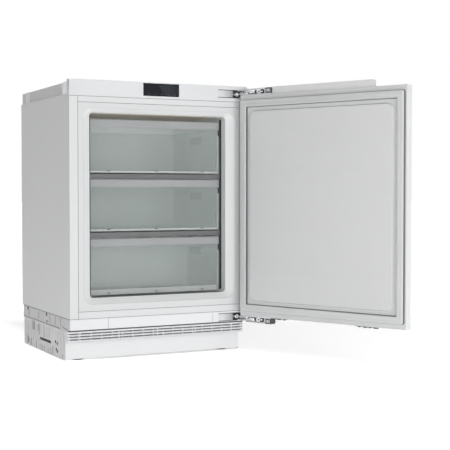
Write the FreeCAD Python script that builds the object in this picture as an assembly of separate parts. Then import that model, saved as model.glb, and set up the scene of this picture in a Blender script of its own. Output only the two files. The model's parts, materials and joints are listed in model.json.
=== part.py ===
import FreeCAD, Part
import math
import os

# Undercounter freezer for a kitchen niche. The door is hinged on the right and stands open.
# X runs to the right, Y to the back and Z up, in millimetres. The origin is on the floor,
# in the middle of the cabinet's width and in the plane of the cabinet's front.

V = FreeCAD.Vector

# Cabinet
cabinet_width = 597.0
cabinet_depth = 509.0
cabinet_height = 855.0
sheet = 0.8
base_height = 134.0  # floor to the lower edge of the side panels
side_strip = 26.5  # front strip folded from each side panel
rear_fold = 12.0
upper_rail_height = 18.0
lower_rail_height = 21.5
rail_depth = 9.0
fit_gap = 0.3  # between pieces that seat in one another

# Control fascia and top cover
fascia_height = 50.0
fascia_depth = 24.0
fascia_wall = 2.5
fascia_rib_pitch = 76.0
end_window_depth = 9.0  # opening in each end of the fascia
end_window_height = 15.0
end_window_drop = 6.0
cover_drop = 7.0  # the cover lies this far below the fascia's top edge
cover_height = 36.0
cover_inset = 4.5
cover_wall = 1.0
display_width = 120.0
display_height = 39.0
display_top_margin = 3.0
display_thickness = 2.0
board_margin = 6.0
board_thickness = 14.0
board_plate = 1.6
clip_start = 414.0  # rear clips on the top cover, front edge
clip_length = 46.0
clip_thickness = 3.0
bracket_length = 46.0
bracket_sheet = 1.5
bracket_reach = 34.0
bracket_hole = 2.5
bracket_front_gap = 2.0

# Inner liner
liner_wall = 2.0
flange_side = 17.0
flange_upper = 16.0
flange_lower = 20.0
recess_corner = 30.0
bevel_side = 25.0
bevel_upper = 13.0
bevel_lower = 19.0
bevel_depth = 17.0
mouth_corner = 12.0
cavity_depth = 430.0
hump_front = 312.0  # front of the step over the machine space
machine_front = 362.0
machine_top = 322.0
coil_radius = 4.0
coil_pitch = 44.0
coil_passes = 8
coil_margin = 40.0
bend_share = 0.45  # bend radius of a coil as a share of its pitch

# Shelves and drawers
shelf_glass = 5.0
shelf_side_gap = 1.0
shelf_rail_width = 8.0
shelf_rail_height = 8.7
lower_shelf_share = 0.35  # top of the glass as a share of the room's height
upper_shelf_share = 0.6712
shelf_over_hump = 11.2
trim_height = 14.0
trim_depth = 10.0
drawer_setback = 55.0
drawer_side_gap = 4.0
drawer_rear_gap = 8.0
bin_side_gap = 8.0
bin_wall = 2.5
bin_rear_drop = 22.0
bin_taper = 7.0
bin_step_width = 24.0  # step along the bottom drawer's lower corners
bin_step_slope = 8.0
bin_step_height = 14.0
skid_height = 3.0
skid_width = 6.0
skid_inset = 40.0
slide_gap = 0.3
bottom_headroom = 4.9  # above each drawer
middle_headroom = 2.2
top_headroom = 16.5
handle_height = 25.0
handle_overhang = 5.0
handle_depth = 16.0
handle_wall = 3.0
handle_sweep = 20.0  # length over which each end of the handle curves back
handle_sweep_depth = 3.5

# Base
carrier_height = 41.0  # band between the pan and the side panels
pan_sheet = 1.5
pan_inset = 1.5
pan_lift = 2.0  # lower edge of the pan's sides above the floor
pan_floor_lift = 8.0
pan_rear = 492.0
pan_rear_height = 52.0
rib_width = 5.0
rib_proud = 1.0
rib_pitch = 29.0
rib_margin = 8.0
grip_start = 196.0
grip_length = 116.0
grip_height = 9.0
grip_lift = 37.0
vent_width = 11.0
vent_height = 8.0
vent_start = 126.0
vent_lifts = (18.0, 42.0)
carrier_beam = 12.5
carrier_rear = 500.0
carrier_cross = 12.0
carrier_cross_height = 22.0
carrier_cross_place = 300.0
carrier_hole = 3.5
carrier_holes = ((447.0, 10.0), (240.0, 10.0), (236.0, 30.0))  # place, depth below the top
base_cover_split = 177.0
base_cover_wall = 3.0
base_cover_gap = 0.3
base_cover_clip = 6.0
base_cover_lift = 7.5  # lower edge of the base covers above the pan
grille_setback = 28.0
grille_height = 32.0
grille_wall = 3.0
grille_rows = 3
grille_row_pitch = 8.6
grille_slot_height = 4.0
grille_columns = 17
grille_bridge = 3.0
grille_end = 8.0
plinth_setback = 54.0
plinth_wall = 3.0
plinth_inset = 2.5
plinth_lift = 6.0
foot_side_inset = 52.0
foot_front = 90.0
foot_rear = 455.0
foot_pad_radius = 20.0
foot_pad_height = 6.0
foot_stud_radius = 5.0
foot_stud_length = 62.0
foot_sleeve_wall = 4.0
foot_sleeve_height = 34.0
run_gap = 0.05  # radial clearance of a pin or stud in its hole

# Refrigerating machine
compressor_x = -130.0
compressor_y = 426.0
compressor_radius = 62.0
compressor_height = 168.0
compressor_dome = 34.0
compressor_wall = 5.0
compressor_seam = 4.0
compressor_seam_height = 6.0
plate_width = 190.0
plate_depth = 112.0
plate_sheet = 3.0
mount_radius = 11.0
mount_height = 15.0
mount_inset = 16.0
tube_radius = 3.0
tube_bend = 14.0
condenser_left = -30.0
condenser_width = 250.0
condenser_front = 80.0
condenser_pitch = 24.0
condenser_passes = 10
condenser_height = 45.0
condenser_strip = 1.5
condenser_strip_height = 52.0
condenser_strips = 3
discharge_rise = 34.0
suction_x = -20.0
suction_height = 150.0
liquid_x = -235.0
liquid_rise_place = 280.0
dryer_radius = 9.0
dryer_length = 90.0
dryer_place = 150.0
fan_x = 110.0
fan_front = 338.0
fan_headroom = 6.5
fan_frame_depth = 25.0
fan_rim = 5.0
fan_tip_gap = 2.5
fan_hub_radius = 17.0
fan_hub_depth = 14.0
fan_motor_radius = 15.0
fan_motor_depth = 9.0
fan_shaft_radius = 2.5
fan_strut = 6.0
fan_blades = 7
fan_blade_sheet = 2.0
fan_blade_pitch = 35.0
inlet_x = 190.0
inlet_width = 48.0
inlet_height = 28.0
inlet_depth = 14.0
inlet_lift = 14.0
inlet_wall = 3.0

# Door
door_angle = 115.0  # how far the door stands open
door_thickness = 41.0
door_rim = 11.0  # depth of the rim behind the cabinet's front plane
door_over = 16.0  # outer panel beyond the gasket, above and below
door_liner_wall = 2.0
gasket_side_inset = 5.2
gasket_over_fascia = 3.0
gasket_over_base = 3.0
gasket_width = 24.0
gasket_round = 4.0
seal_gap = 0.6
plateau_inset = 8.5
plateau_depth = 8.0
plateau_draft = 5.0
plateau_corner = 22.0
bar_half = 180.0
bar_height = 22.0
bar_depth = 24.0
bar_wall = 2.0
bar_hole = 4.25
bar_hole_inset = 42.0
panel_bracket_place = 150.0
panel_bracket_length = 54.0
panel_bracket_depth = 20.0
panel_bracket_sheet = 2.5
panel_bracket_slot = 4.0

# Hinges, given for the upper one with the door closed
pivot_inset = 13.0  # main pivot from the door's edge
pivot_reach = 29.7  # main pivot in front of the cabinet
slot_left = 197.0
slot_right = 290.0
slot_under = 10.0  # slot's lower edge below the hinge arm
slot_height = 26.0
block_gap = 1.0
block_setback = 4.0
arm_root = 23.0
arm_thickness = 6.0
arm_eye = 8.0
link_offset = 11.0  # link pivot from the main pivot
link_eye = 6.5
link_reach = 60.0  # guide pin from the main pivot
link_width = 12.0
link_thickness = 5.0
link_play = 0.8  # play of the guide pin in its slot
lever_eye = 7.0
lever_thickness = 5.0
lever_start = 20.0
lever_end = 72.0
main_pin_radius = 3.0
link_pin_radius = 2.5
pin_head = 1.2
pin_head_over = 1.5
level_gap = 0.5  # between the hinge's levels
hinge_plate_sheet = 2.5
hinge_plate_margin = 3.0
hinge_plate_inset = 2.0
cap_length = 22.0
cap_height = 18.0
screw_radius = 2.2
screw_head_radius = 4.0
screw_head_height = 1.8
screw_length = 12.0
screw_pitch = 24.0
screw_inset = 16.0
door_screw_inset = 6.5

# Levels and edges that follow from these sizes
half_width = cabinet_width / 2
fascia_bottom = cabinet_height - fascia_height
cover_top = cabinet_height - cover_drop
body_top = cover_top - cover_height
cover_half = half_width - cover_inset
flange_half = half_width - side_strip
flange_top = fascia_bottom - upper_rail_height
flange_bottom = base_height + lower_rail_height
recess_half = flange_half - flange_side
recess_top = flange_top - flange_upper
recess_bottom = flange_bottom + flange_lower
mouth_half = recess_half - bevel_side
mouth_top = recess_top - bevel_upper
liner_floor = recess_bottom + bevel_lower
room_height = mouth_top - liner_floor
lower_shelf_top = liner_floor + lower_shelf_share * room_height
upper_shelf_top = liner_floor + upper_shelf_share * room_height
hump_top = lower_shelf_top - shelf_over_hump
drawer_lift = slide_gap + skid_height
bottom_drawer_top = lower_shelf_top - trim_height - bottom_headroom
middle_drawer_top = upper_shelf_top - trim_height - middle_headroom
top_drawer_top = mouth_top - top_headroom
drawer_half = mouth_half - drawer_side_gap
bin_half = mouth_half - bin_side_gap
pan_top = base_height - carrier_height
pan_half = half_width - pan_inset
pan_floor_top = pan_floor_lift + pan_sheet
pan_front = plinth_setback + plinth_wall
grille_bottom = pan_top - grille_height
fan_frame = base_height - pan_floor_top - fan_headroom
fan_bore = fan_frame / 2 - fan_rim
door_top = fascia_bottom + gasket_over_fascia + door_over
door_bottom = base_height + gasket_over_base - door_over
door_middle = (door_top + door_bottom) / 2
gasket_half = half_width - gasket_side_inset
gasket_top = door_top - door_over
gasket_bottom = door_bottom + door_over
pivot = V(half_width - pivot_inset, -pivot_reach, 0)
bisector = math.radians(door_angle / 2)
link_pivot = pivot + V(link_offset * math.cos(bisector), link_offset * math.sin(bisector), 0)
plate_top = door_top + hinge_plate_sheet
arm_low = plate_top + level_gap
arm_high = arm_low + arm_thickness
slot_low = arm_low - slot_under
slot_high = slot_low + slot_height
lever_low = arm_high + level_gap
lever_high = lever_low + lever_thickness
link_low = lever_high + pin_head + 2 * level_gap
link_high = link_low + link_thickness


def box(x0, x1, y0, y1, z0, z1):
    return Part.makeBox(x1 - x0, y1 - y0, z1 - z0, V(x0, y0, z0))


def upright(x, y, z0, z1, radius):
    return Part.makeCylinder(radius, z1 - z0, V(x, y, z0))


def lengthwise(x, z, y0, y1, radius):
    return Part.makeCylinder(radius, y1 - y0, V(x, y0, z), V(0, 1, 0))


def prism(points, direction):
    outline = Part.makePolygon(points + points[:1])
    return Part.Face(outline).extrude(direction)


def flat_prism(points, z0, z1):
    return prism([V(x, y, z0) for x, y in points], V(0, 0, z1 - z0))


def profile_along_x(points, x0, x1):
    return prism([V(x0, y, z) for y, z in points], V(x1 - x0, 0, 0))


def profile_along_y(points, y0, y1):
    return prism([V(x, y0, z) for x, z in points], V(0, y1 - y0, 0))


def rounded_outline(half, low, high, corner, y):
    near = corner * (1 - math.sqrt(0.5))
    corners = (
        (half, low, -1, 1),
        (half, high, -1, -1),
        (-half, high, 1, -1),
        (-half, low, 1, 1),
    )
    edges = []
    start = V(-half + corner, y, low)
    for index, (x, z, sx, sz) in enumerate(corners):
        along_x = V(x + sx * corner, y, z)
        along_z = V(x, y, z + sz * corner)
        middle = V(x + sx * near, y, z + sz * near)
        first, last = (along_x, along_z) if index % 2 == 0 else (along_z, along_x)
        edges.append(Part.LineSegment(start, first).toShape())
        edges.append(Part.Arc(first, middle, last).toShape())
        start = last
    return Part.Wire(edges)


def rounded_block(half, low, high, corner, y0, y1):
    outline = rounded_outline(half, low, high, corner, y0)
    return Part.Face(outline).extrude(V(0, y1 - y0, 0))


def joined(shapes):
    whole = shapes[0].fuse(list(shapes[1:]))
    return whole.removeSplitter()


def group(shapes):
    return Part.makeCompound(shapes)


def mirrored_x(shape):
    return shape.mirror(V(0, 0, 0), V(1, 0, 0))


def mirrored_hinge(shape):
    return shape.mirror(V(0, 0, door_middle), V(0, 0, 1))


def turned(shape, centre, degrees):
    copy = shape.copy()
    copy.rotate(centre, V(0, 0, 1), degrees)
    return copy


def opened(shape):
    return turned(shape, pivot, door_angle)


def tube(points, radius, bend):
    edges = []
    start = points[0]
    for before, corner, after in zip(points, points[1:], points[2:]):
        back = (before - corner).normalize()
        ahead = (after - corner).normalize()
        half_turn = (math.pi - back.getAngle(ahead)) / 2
        reach = bend * math.tan(half_turn)
        first = corner + back * reach
        last = corner + ahead * reach
        inward = (back + ahead).normalize()
        middle = corner + inward * (bend / math.cos(half_turn) - bend)
        edges.append(Part.LineSegment(start, first).toShape())
        edges.append(Part.Arc(first, middle, last).toShape())
        start = last
    edges.append(Part.LineSegment(start, points[-1]).toShape())
    path = Part.Wire(edges)
    section = Part.Wire(Part.makeCircle(radius, points[0], points[1] - points[0]))
    return path.makePipeShell([section], True, False)


def serpentine(left, right, places, to_point):
    points = []
    for index, place in enumerate(places):
        ends = (left, right) if index % 2 == 0 else (right, left)
        points += [to_point(end, place) for end in ends]
    pitch = abs(places[1] - places[0])
    return points, pitch * bend_share


# Cabinet shell
def side_panel_left():
    side = box(-half_width, -half_width + sheet, 0, cabinet_depth, base_height, body_top)
    strip = box(-half_width, -flange_half, 0, sheet, base_height, fascia_bottom)
    rear = cabinet_depth - sheet
    fold = box(-half_width, -half_width + rear_fold, rear, cabinet_depth, base_height, body_top)
    notch = box(-half_width, -flange_half, 0, fascia_depth, fascia_bottom, body_top)
    return joined([side, strip, fold]).cut(notch)


def back_panel():
    half = half_width - rear_fold - fit_gap
    return box(-half, half, cabinet_depth - sheet, cabinet_depth, machine_top, body_top)


def cross_rail(low, high):
    half = flange_half - fit_gap
    face = box(-half, half, 0, sheet, low + fit_gap / 2, high - fit_gap / 2)
    lip = box(-half, half, 0, rail_depth, low + fit_gap / 2, low + fit_gap / 2 + sheet)
    return joined([face, lip])


def upper_cross_rail():
    return cross_rail(flange_top, fascia_bottom)


def lower_cross_rail():
    return cross_rail(base_height, flange_bottom)


# Liner: the cavity as a solid, grown by the wall for the outside
def cavity(grow):
    half = mouth_half + grow
    low = liner_floor - grow
    high = mouth_top + grow
    corner = mouth_corner + grow
    front = rounded_outline(
        recess_half + grow, recess_bottom - grow, recess_top + grow, recess_corner + grow, 0
    )
    funnel = Part.makeLoft(
        [front, rounded_outline(half, low, high, corner, bevel_depth)], True, True
    )
    room = rounded_block(half, low, high, corner, bevel_depth, cavity_depth + grow)
    reach = half_width
    hump = box(-reach, reach, hump_front + grow, cabinet_depth, 0, hump_top - grow)
    return joined([funnel, room]).cut(hump)


def shelf_rail(side, top):
    inner = mouth_half - shelf_rail_width
    outer = mouth_half + liner_wall / 2
    low = top - shelf_glass - fit_gap - shelf_rail_height
    rail = box(inner, outer, drawer_setback, cavity_depth, low, low + shelf_rail_height)
    glass_front = drawer_setback + trim_depth / 2
    boss = box(inner, outer, drawer_setback, glass_front - fit_gap, low, top)
    whole = joined([rail, boss])
    return whole if side > 0 else mirrored_x(whole)


def inner_liner():
    half = flange_half - fit_gap
    flange = box(-half, half, 0, liner_wall, flange_bottom + fit_gap, flange_top - fit_gap)
    shell = joined([flange, cavity(liner_wall)]).cut(cavity(0))
    rails = [shelf_rail(s, top) for s in (-1, 1) for top in (lower_shelf_top, upper_shelf_top)]
    within = cavity(liner_wall / 2)
    return joined([shell] + [rail.common(within) for rail in rails])


def evaporator_path():
    reach = mouth_half - coil_margin
    low = hump_top + coil_margin
    levels = [low + index * coil_pitch for index in range(coil_passes)]
    y = cavity_depth + liner_wall + coil_radius
    return serpentine(-reach, reach, levels, lambda x, z: V(x, y, z))


def evaporator_coil():
    points, bend = evaporator_path()
    return tube(points, coil_radius, bend)


def cabinet_foam():
    inner = half_width - sheet
    body = box(-inner, inner, sheet, cabinet_depth - sheet, base_height, body_top)
    attic = cover_half - cover_wall
    attic_front = fascia_depth + cover_wall
    attic_rear = cabinet_depth - cover_wall
    top = box(-attic, attic, attic_front, attic_rear, body_top, cover_top - cover_wall)
    foam = joined([body, top])
    reach = half_width
    foam = foam.cut(box(-reach, reach, machine_front, cabinet_depth, base_height, machine_top))
    foam = foam.cut(box(-reach, reach, 0, fascia_depth, fascia_bottom, body_top))
    front = box(-flange_half, flange_half, 0, liner_wall, base_height, fascia_bottom)
    rails = box(-flange_half, flange_half, 0, rail_depth, flange_top, fascia_bottom)
    sill = box(-flange_half, flange_half, 0, rail_depth, base_height, flange_bottom)
    folds = box(-inner, -half_width + rear_fold, 0, sheet, base_height, body_top)
    for piece in (front, rails, sill, folds, mirrored_x(folds), cavity(liner_wall)):
        foam = foam.cut(piece)
    return foam.cut(evaporator_coil())


def top_cover():
    rear = cabinet_depth
    outer = box(-cover_half, cover_half, fascia_depth, rear, body_top, cover_top)
    half = cover_half - cover_wall
    inner = box(
        -half, half, fascia_depth + cover_wall, rear - cover_wall, body_top, cover_top - cover_wall
    )
    return outer.cut(inner)


def rear_clips():
    side = -cover_half
    rear = clip_start + clip_length
    clip = box(side - clip_thickness, side, clip_start, rear, body_top + fit_gap, cover_top)
    return group([clip, mirrored_x(clip)])


def worktop_brackets():
    side = -cover_half
    front = fascia_depth + bracket_front_gap
    rear = front + bracket_length
    leg = box(side - bracket_sheet, side, front, rear, body_top + fit_gap, cover_top)
    flat = box(
        side - bracket_sheet, side + bracket_reach, front, rear, cover_top, cover_top + bracket_sheet
    )
    hole_x = side + bracket_reach / 2
    hole_y = front + bracket_length / 2
    hole = upright(hole_x, hole_y, cover_top, cover_top + bracket_sheet, bracket_hole)
    bracket = joined([leg, flat]).cut(hole)
    return group([bracket, mirrored_x(bracket)])


# Control fascia
def display_box(margin, y0, y1):
    half = display_width / 2 + margin
    high = cabinet_height - display_top_margin + margin
    low = high - display_height - 2 * margin
    return box(-half, half, y0, y1, low, high)


def hinge_slot(y0, y1):
    return box(slot_left, slot_right, y0, y1, slot_low, slot_high)


def control_fascia():
    outer = box(-half_width, half_width, 0, fascia_depth, fascia_bottom, cabinet_height)
    wall = fascia_wall
    half = half_width - wall
    inner = box(
        -half, half, wall, fascia_depth, fascia_bottom + wall, cabinet_height - wall
    )
    shell = outer.cut(inner)
    count = int(half // fascia_rib_pitch)
    for index in range(-count, count + 1):
        x = index * fascia_rib_pitch
        low = fascia_bottom + wall
        rib = box(x - wall / 2, x + wall / 2, wall, fascia_depth, low, cabinet_height - wall)
        shell = shell.fuse(rib)
    shell = shell.removeSplitter()
    pocket = display_box(board_margin + fit_gap, wall, fascia_depth)
    room = pocket.common(inner)
    window = display_box(fit_gap, 0, wall)
    high = cabinet_height - end_window_drop
    end = box(
        -half_width, -half + fit_gap, wall, wall + end_window_depth, high - end_window_height, high
    )
    for opening in (room, window, hinge_slot(0, fascia_depth), end, mirrored_x(end)):
        shell = shell.cut(opening)
    return shell


def display_glass():
    front = fascia_wall - display_thickness
    return display_box(0, front, fascia_wall)


def control_board():
    wall = fascia_wall
    low = fascia_bottom + wall + fit_gap
    high = cabinet_height - wall - fit_gap
    half = display_width / 2 + board_margin
    housing = box(-half, half, wall, wall + board_thickness, low, high)
    hollow = box(
        -half + board_plate, half - board_plate, wall + board_plate,
        wall + board_thickness - board_plate, low + board_plate, high - board_plate,
    )
    return housing.cut(hollow)


# Shelves
def shelf(top):
    half = mouth_half - shelf_side_gap
    front = drawer_setback + trim_depth / 2
    return box(-half, half, front, cavity_depth - shelf_side_gap, top - shelf_glass, top)


def shelf_trim(top):
    half = mouth_half - shelf_rail_width - fit_gap
    rear = drawer_setback + trim_depth
    body = box(-half, half, drawer_setback, rear, top - trim_height, top)
    front = drawer_setback + trim_depth / 2
    groove = box(
        -half, half, front - fit_gap, rear, top - shelf_glass - fit_gap, top
    )
    return body.cut(groove)


# Drawers: a clear bin and a handle strip that hooks over its front wall
def drawer_rear(floor):
    over_hump = floor > hump_top
    return (cavity_depth if over_hump else hump_front) - drawer_rear_gap


def bin_steps(floor, grow):
    top = floor + bin_step_height + grow
    edge = drawer_half - bin_step_width - grow
    outline = [
        (edge - bin_step_slope, floor), (drawer_half, floor), (drawer_half, top), (edge, top)
    ]
    step = profile_along_y(outline, drawer_setback, cavity_depth)
    return group([step, mirrored_x(step)])


def bin_loft(floor, top, rear, wall):
    half = bin_half - wall
    front = drawer_setback + wall
    wires = []
    for z, taper in ((floor + wall, bin_taper), (top, 0)):
        x = half - taper
        back = rear - wall - taper
        points = [V(-x, front, z), V(x, front, z), V(x, back, z), V(-x, back, z)]
        wires.append(Part.makePolygon(points + points[:1]))
    return Part.makeLoft(wires, True, True)


def bin_skid(shelf_top, rear):
    x = bin_half - bin_taper - skid_inset
    low = shelf_top + slide_gap
    half = skid_width / 2
    front = drawer_setback + bin_wall
    return box(x - half, x + half, front, rear - bin_taper, low, low + skid_height)


def drawer_bin(shelf_top, drawer_top, stepped):
    floor = shelf_top + drawer_lift
    top = drawer_top - handle_wall - fit_gap
    rim = top - bin_rear_drop
    rear = drawer_rear(floor)
    front_wall = drawer_setback + bin_wall
    front = box(-drawer_half, drawer_half, drawer_setback, front_wall, floor, top)
    tub = joined([bin_loft(floor, rim, rear, 0), front])
    hollow = bin_loft(floor, rim, rear, bin_wall)
    if stepped:
        tub = tub.cut(bin_steps(floor, 0))
        hollow = hollow.cut(bin_steps(floor, bin_wall))
    skid = bin_skid(shelf_top, rear)
    return joined([tub, skid, mirrored_x(skid)]).cut(hollow)


def handle_plan(front, rear, z0, z1):
    half = drawer_half
    straight = half - handle_sweep
    depth = handle_sweep_depth
    radius = (handle_sweep * handle_sweep + depth * depth) / (2 * depth)
    lean = math.asin(handle_sweep / radius) / 2
    mid_x = straight + radius * math.sin(lean)
    mid_y = front + radius * (1 - math.cos(lean))
    end_y = front + depth
    left_end = V(-half, end_y, z0)
    right_end = V(half, end_y, z0)
    corners = [right_end, V(half, rear, z0), V(-half, rear, z0), left_end]
    edges = [
        Part.LineSegment(V(-straight, front, z0), V(straight, front, z0)).toShape(),
        Part.Arc(V(straight, front, z0), V(mid_x, mid_y, z0), right_end).toShape(),
        Part.makePolygon(corners),
        Part.Arc(left_end, V(-mid_x, mid_y, z0), V(-straight, front, z0)).toShape(),
    ]
    return Part.Face(Part.Wire(edges)).extrude(V(0, 0, z1 - z0))


def drawer_handle(top):
    low = top - handle_height
    front = drawer_setback - handle_overhang
    rear = front + handle_depth
    inner = drawer_setback - fit_gap
    wall_back = drawer_setback + bin_wall + fit_gap
    hook_back = wall_back + handle_wall
    hook_low = low + handle_height / 2
    under = top - handle_wall
    outline = [
        (front + handle_overhang / 2, low), (inner, low), (inner, under), (wall_back, under),
        (wall_back, hook_low), (hook_back, hook_low), (hook_back, under), (rear, under),
        (rear, top), (front + handle_wall, top), (front, under), (front, low + handle_overhang),
    ]
    strip = profile_along_x(outline, -drawer_half, drawer_half)
    return strip.common(handle_plan(front, rear, low, top))


# Base
def pan_side():
    outer = -pan_half
    front = pan_front + fit_gap
    wall = box(outer, outer + pan_sheet, front, pan_rear, pan_lift, pan_top)
    ribs = []
    place = front + rib_margin
    while place + rib_width < pan_rear - rib_margin:
        over_grip = grip_start - rib_pitch < place < grip_start + grip_length + rib_width
        over_vent = vent_start - rib_pitch < place < vent_start + vent_width + rib_width
        low = grip_lift + grip_height + rib_margin if over_grip or over_vent else pan_floor_top
        ribs.append(
            box(outer - rib_proud, outer, place, place + rib_width, low, pan_top - rib_margin)
        )
        place += rib_pitch
    side = joined([wall] + ribs)
    grip = box(
        outer - rib_proud, outer + pan_sheet, grip_start, grip_start + grip_length,
        grip_lift, grip_lift + grip_height,
    )
    side = side.cut(grip)
    for lift in vent_lifts:
        vent = box(
            outer - rib_proud, outer + pan_sheet, vent_start, vent_start + vent_width,
            lift, lift + vent_height,
        )
        side = side.cut(vent)
    return side


def foot_places():
    x = half_width - foot_side_inset
    return {
        "foot_front_left": (-x, foot_front),
        "foot_front_right": (x, foot_front),
        "foot_rear_left": (-x, foot_rear),
        "foot_rear_right": (x, foot_rear),
    }


def base_pan():
    side = pan_side()
    front = pan_front + fit_gap
    floor = box(-pan_half, pan_half, front, pan_rear, pan_floor_lift, pan_floor_top)
    rear = box(
        -pan_half, pan_half, pan_rear - pan_sheet, pan_rear, pan_floor_lift, pan_rear_height
    )
    bore = foot_stud_radius + run_gap
    sleeves = []
    bores = []
    for x, y in foot_places().values():
        high = pan_floor_lift + foot_sleeve_height
        sleeves.append(upright(x, y, pan_floor_lift, high, bore + foot_sleeve_wall))
        bores.append(upright(x, y, 0, high, bore))
    pan = joined([side, mirrored_x(side), floor, rear] + sleeves)
    return pan.cut(group(bores))


def foot(x, y):
    pad = upright(x, y, 0, foot_pad_height, foot_pad_radius)
    stud = upright(x, y, 0, foot_stud_length, foot_stud_radius)
    return joined([pad, stud])


def base_carrier():
    outer = -pan_half
    front = fascia_depth
    beam = box(outer, outer + carrier_beam, front, carrier_rear, pan_top, base_height)
    for y, drop in carrier_holes:
        depth = carrier_beam / 2
        mouth = V(outer, y, base_height - drop)
        hole = Part.makeCylinder(carrier_hole, depth, mouth, V(1, 0, 0))
        beam = beam.cut(hole)
    inner = pan_half - carrier_beam
    head = box(-inner, inner, front, front + carrier_cross, pan_top, base_height)
    low = base_height - carrier_cross_height
    cross = box(
        -inner, inner, carrier_cross_place, carrier_cross_place + carrier_cross, low, base_height
    )
    return joined([beam, mirrored_x(beam), head, cross])


def base_cover(left, right):
    gap = base_cover_gap / 2
    low = pan_top + base_cover_lift
    high = base_height - gap
    face = box(left + gap, right - gap, 0, base_cover_wall, low, high)
    clips = []
    count = max(2, int((right - left) // fascia_rib_pitch) + 1)
    step = (right - left - 2 * base_cover_clip) / (count - 1)
    for index in range(count):
        x = left + base_cover_clip + index * step
        half = base_cover_clip / 2
        clips.append(box(x - half, x + half, 0, fascia_depth, low, high))
    return joined([face] + clips)


def left_base_cover():
    return base_cover(-half_width, -base_cover_split)


def middle_base_cover():
    return base_cover(-base_cover_split, base_cover_split)


def right_base_cover():
    return base_cover(base_cover_split, half_width).cut(mirrored_hinge(hinge_slot(0, fascia_depth)))


def ventilation_grille():
    front = grille_setback
    face = box(-half_width, half_width, front, front + grille_wall, grille_bottom, pan_top)
    end = box(
        -half_width, -half_width + grille_wall, front, pan_front, grille_bottom, pan_top
    )
    span = cabinet_width - 2 * grille_end
    step = span / grille_columns
    margin = (grille_height - (grille_rows - 1) * grille_row_pitch) / 2
    slots = []
    for row in range(grille_rows):
        middle = grille_bottom + margin + row * grille_row_pitch
        low = middle - grille_slot_height / 2
        for column in range(grille_columns):
            x = -half_width + grille_end + column * step
            slots.append(
                box(
                    x + grille_bridge / 2, x + step - grille_bridge / 2, front,
                    front + grille_wall, low, low + grille_slot_height,
                )
            )
    return joined([face, end, mirrored_x(end)]).cut(group(slots))


def plinth_panel():
    half = half_width - plinth_inset
    front = plinth_setback
    return box(-half, half, front, front + plinth_wall, plinth_lift, grille_bottom)


# Refrigerating machine
def dome_solid(radius, low, high, dome):
    sphere = (radius * radius + dome * dome) / (2 * dome)
    lean = math.asin(radius / sphere) / 2
    out = sphere * math.sin(lean)
    rise = sphere * (1 - math.cos(lean))
    start = V(0, 0, low)
    lower = V(radius, 0, low + dome)
    upper = V(radius, 0, high - dome)
    end = V(0, 0, high)
    edges = [
        Part.Arc(start, V(out, 0, low + rise), lower).toShape(),
        Part.LineSegment(lower, upper).toShape(),
        Part.Arc(upper, V(out, 0, high - rise), end).toShape(),
        Part.LineSegment(end, start).toShape(),
    ]
    return Part.Face(Part.Wire(edges)).revolve(V(0, 0, 0), V(0, 0, 1), 360)


def mount_places():
    x = plate_width / 2 - mount_inset
    y = plate_depth / 2 - mount_inset
    return [(compressor_x + sx * x, compressor_y + sy * y) for sx in (-1, 1) for sy in (-1, 1)]


def compressor_base():
    return pan_floor_top + mount_height


def compressor_top():
    return compressor_base() + compressor_height


def compressor():
    low = compressor_base()
    high = compressor_top()
    wall = compressor_wall
    pot = dome_solid(compressor_radius, low, high, compressor_dome)
    hollow = dome_solid(compressor_radius - wall, low + wall, high - wall, compressor_dome)
    middle = (low + high) / 2
    half_seam = compressor_seam_height / 2
    seam = upright(0, 0, middle - half_seam, middle + half_seam, compressor_radius + compressor_seam)
    plate = box(
        -plate_width / 2, plate_width / 2, -plate_depth / 2, plate_depth / 2, low, low + plate_sheet
    )
    body = joined([pot, seam, plate]).cut(hollow)
    body.translate(V(compressor_x, compressor_y, 0))
    return body


def compressor_mounts():
    return group(
        [upright(x, y, pan_floor_top, compressor_base(), mount_radius) for x, y in mount_places()]
    )


def condenser_rows():
    return [condenser_front + index * condenser_pitch for index in range(condenser_passes)]


def condenser():
    rows = condenser_rows()[::-1]
    right = condenser_left + condenser_width
    z = condenser_height
    points, bend = serpentine(condenser_left, right, rows, lambda x, y: V(x, y, z))
    coil = tube(points, tube_radius, bend)
    strips = []
    step = condenser_width / (condenser_strips + 1)
    margin = condenser_pitch / 2
    for index in range(condenser_strips):
        x = condenser_left + (index + 1) * step
        strips.append(
            box(
                x, x + condenser_strip, rows[-1] - margin, rows[0] + margin,
                pan_floor_top, pan_floor_top + condenser_strip_height,
            )
        )
    return joined([coil] + strips)


def discharge_line():
    last = condenser_rows()[-1]
    z = condenser_height
    high = z + discharge_rise
    points = [
        V(compressor_x, compressor_y - compressor_radius - fit_gap, high),
        V(compressor_x, last, high),
        V(compressor_x, last, z),
        V(condenser_left - fit_gap, last, z),
    ]
    return tube(points, tube_radius, tube_bend)


def suction_line():
    start = V(compressor_x + compressor_radius + fit_gap, compressor_y, suction_height)
    points = [
        start,
        V(suction_x, compressor_y, suction_height),
        V(suction_x, compressor_y, machine_top - fit_gap),
    ]
    return tube(points, coil_radius, tube_bend)


def liquid_line():
    first = condenser_rows()[0]
    z = condenser_height
    points = [
        V(condenser_left - fit_gap, first, z),
        V(liquid_x, first, z),
        V(liquid_x, liquid_rise_place, z),
        V(liquid_x, liquid_rise_place, base_height - fit_gap),
    ]
    line = tube(points, tube_radius, tube_bend)
    dryer = lengthwise(liquid_x, z, dryer_place, dryer_place + dryer_length, dryer_radius)
    return joined([line, dryer])


def fan_height():
    return pan_floor_top + fan_frame / 2


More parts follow.
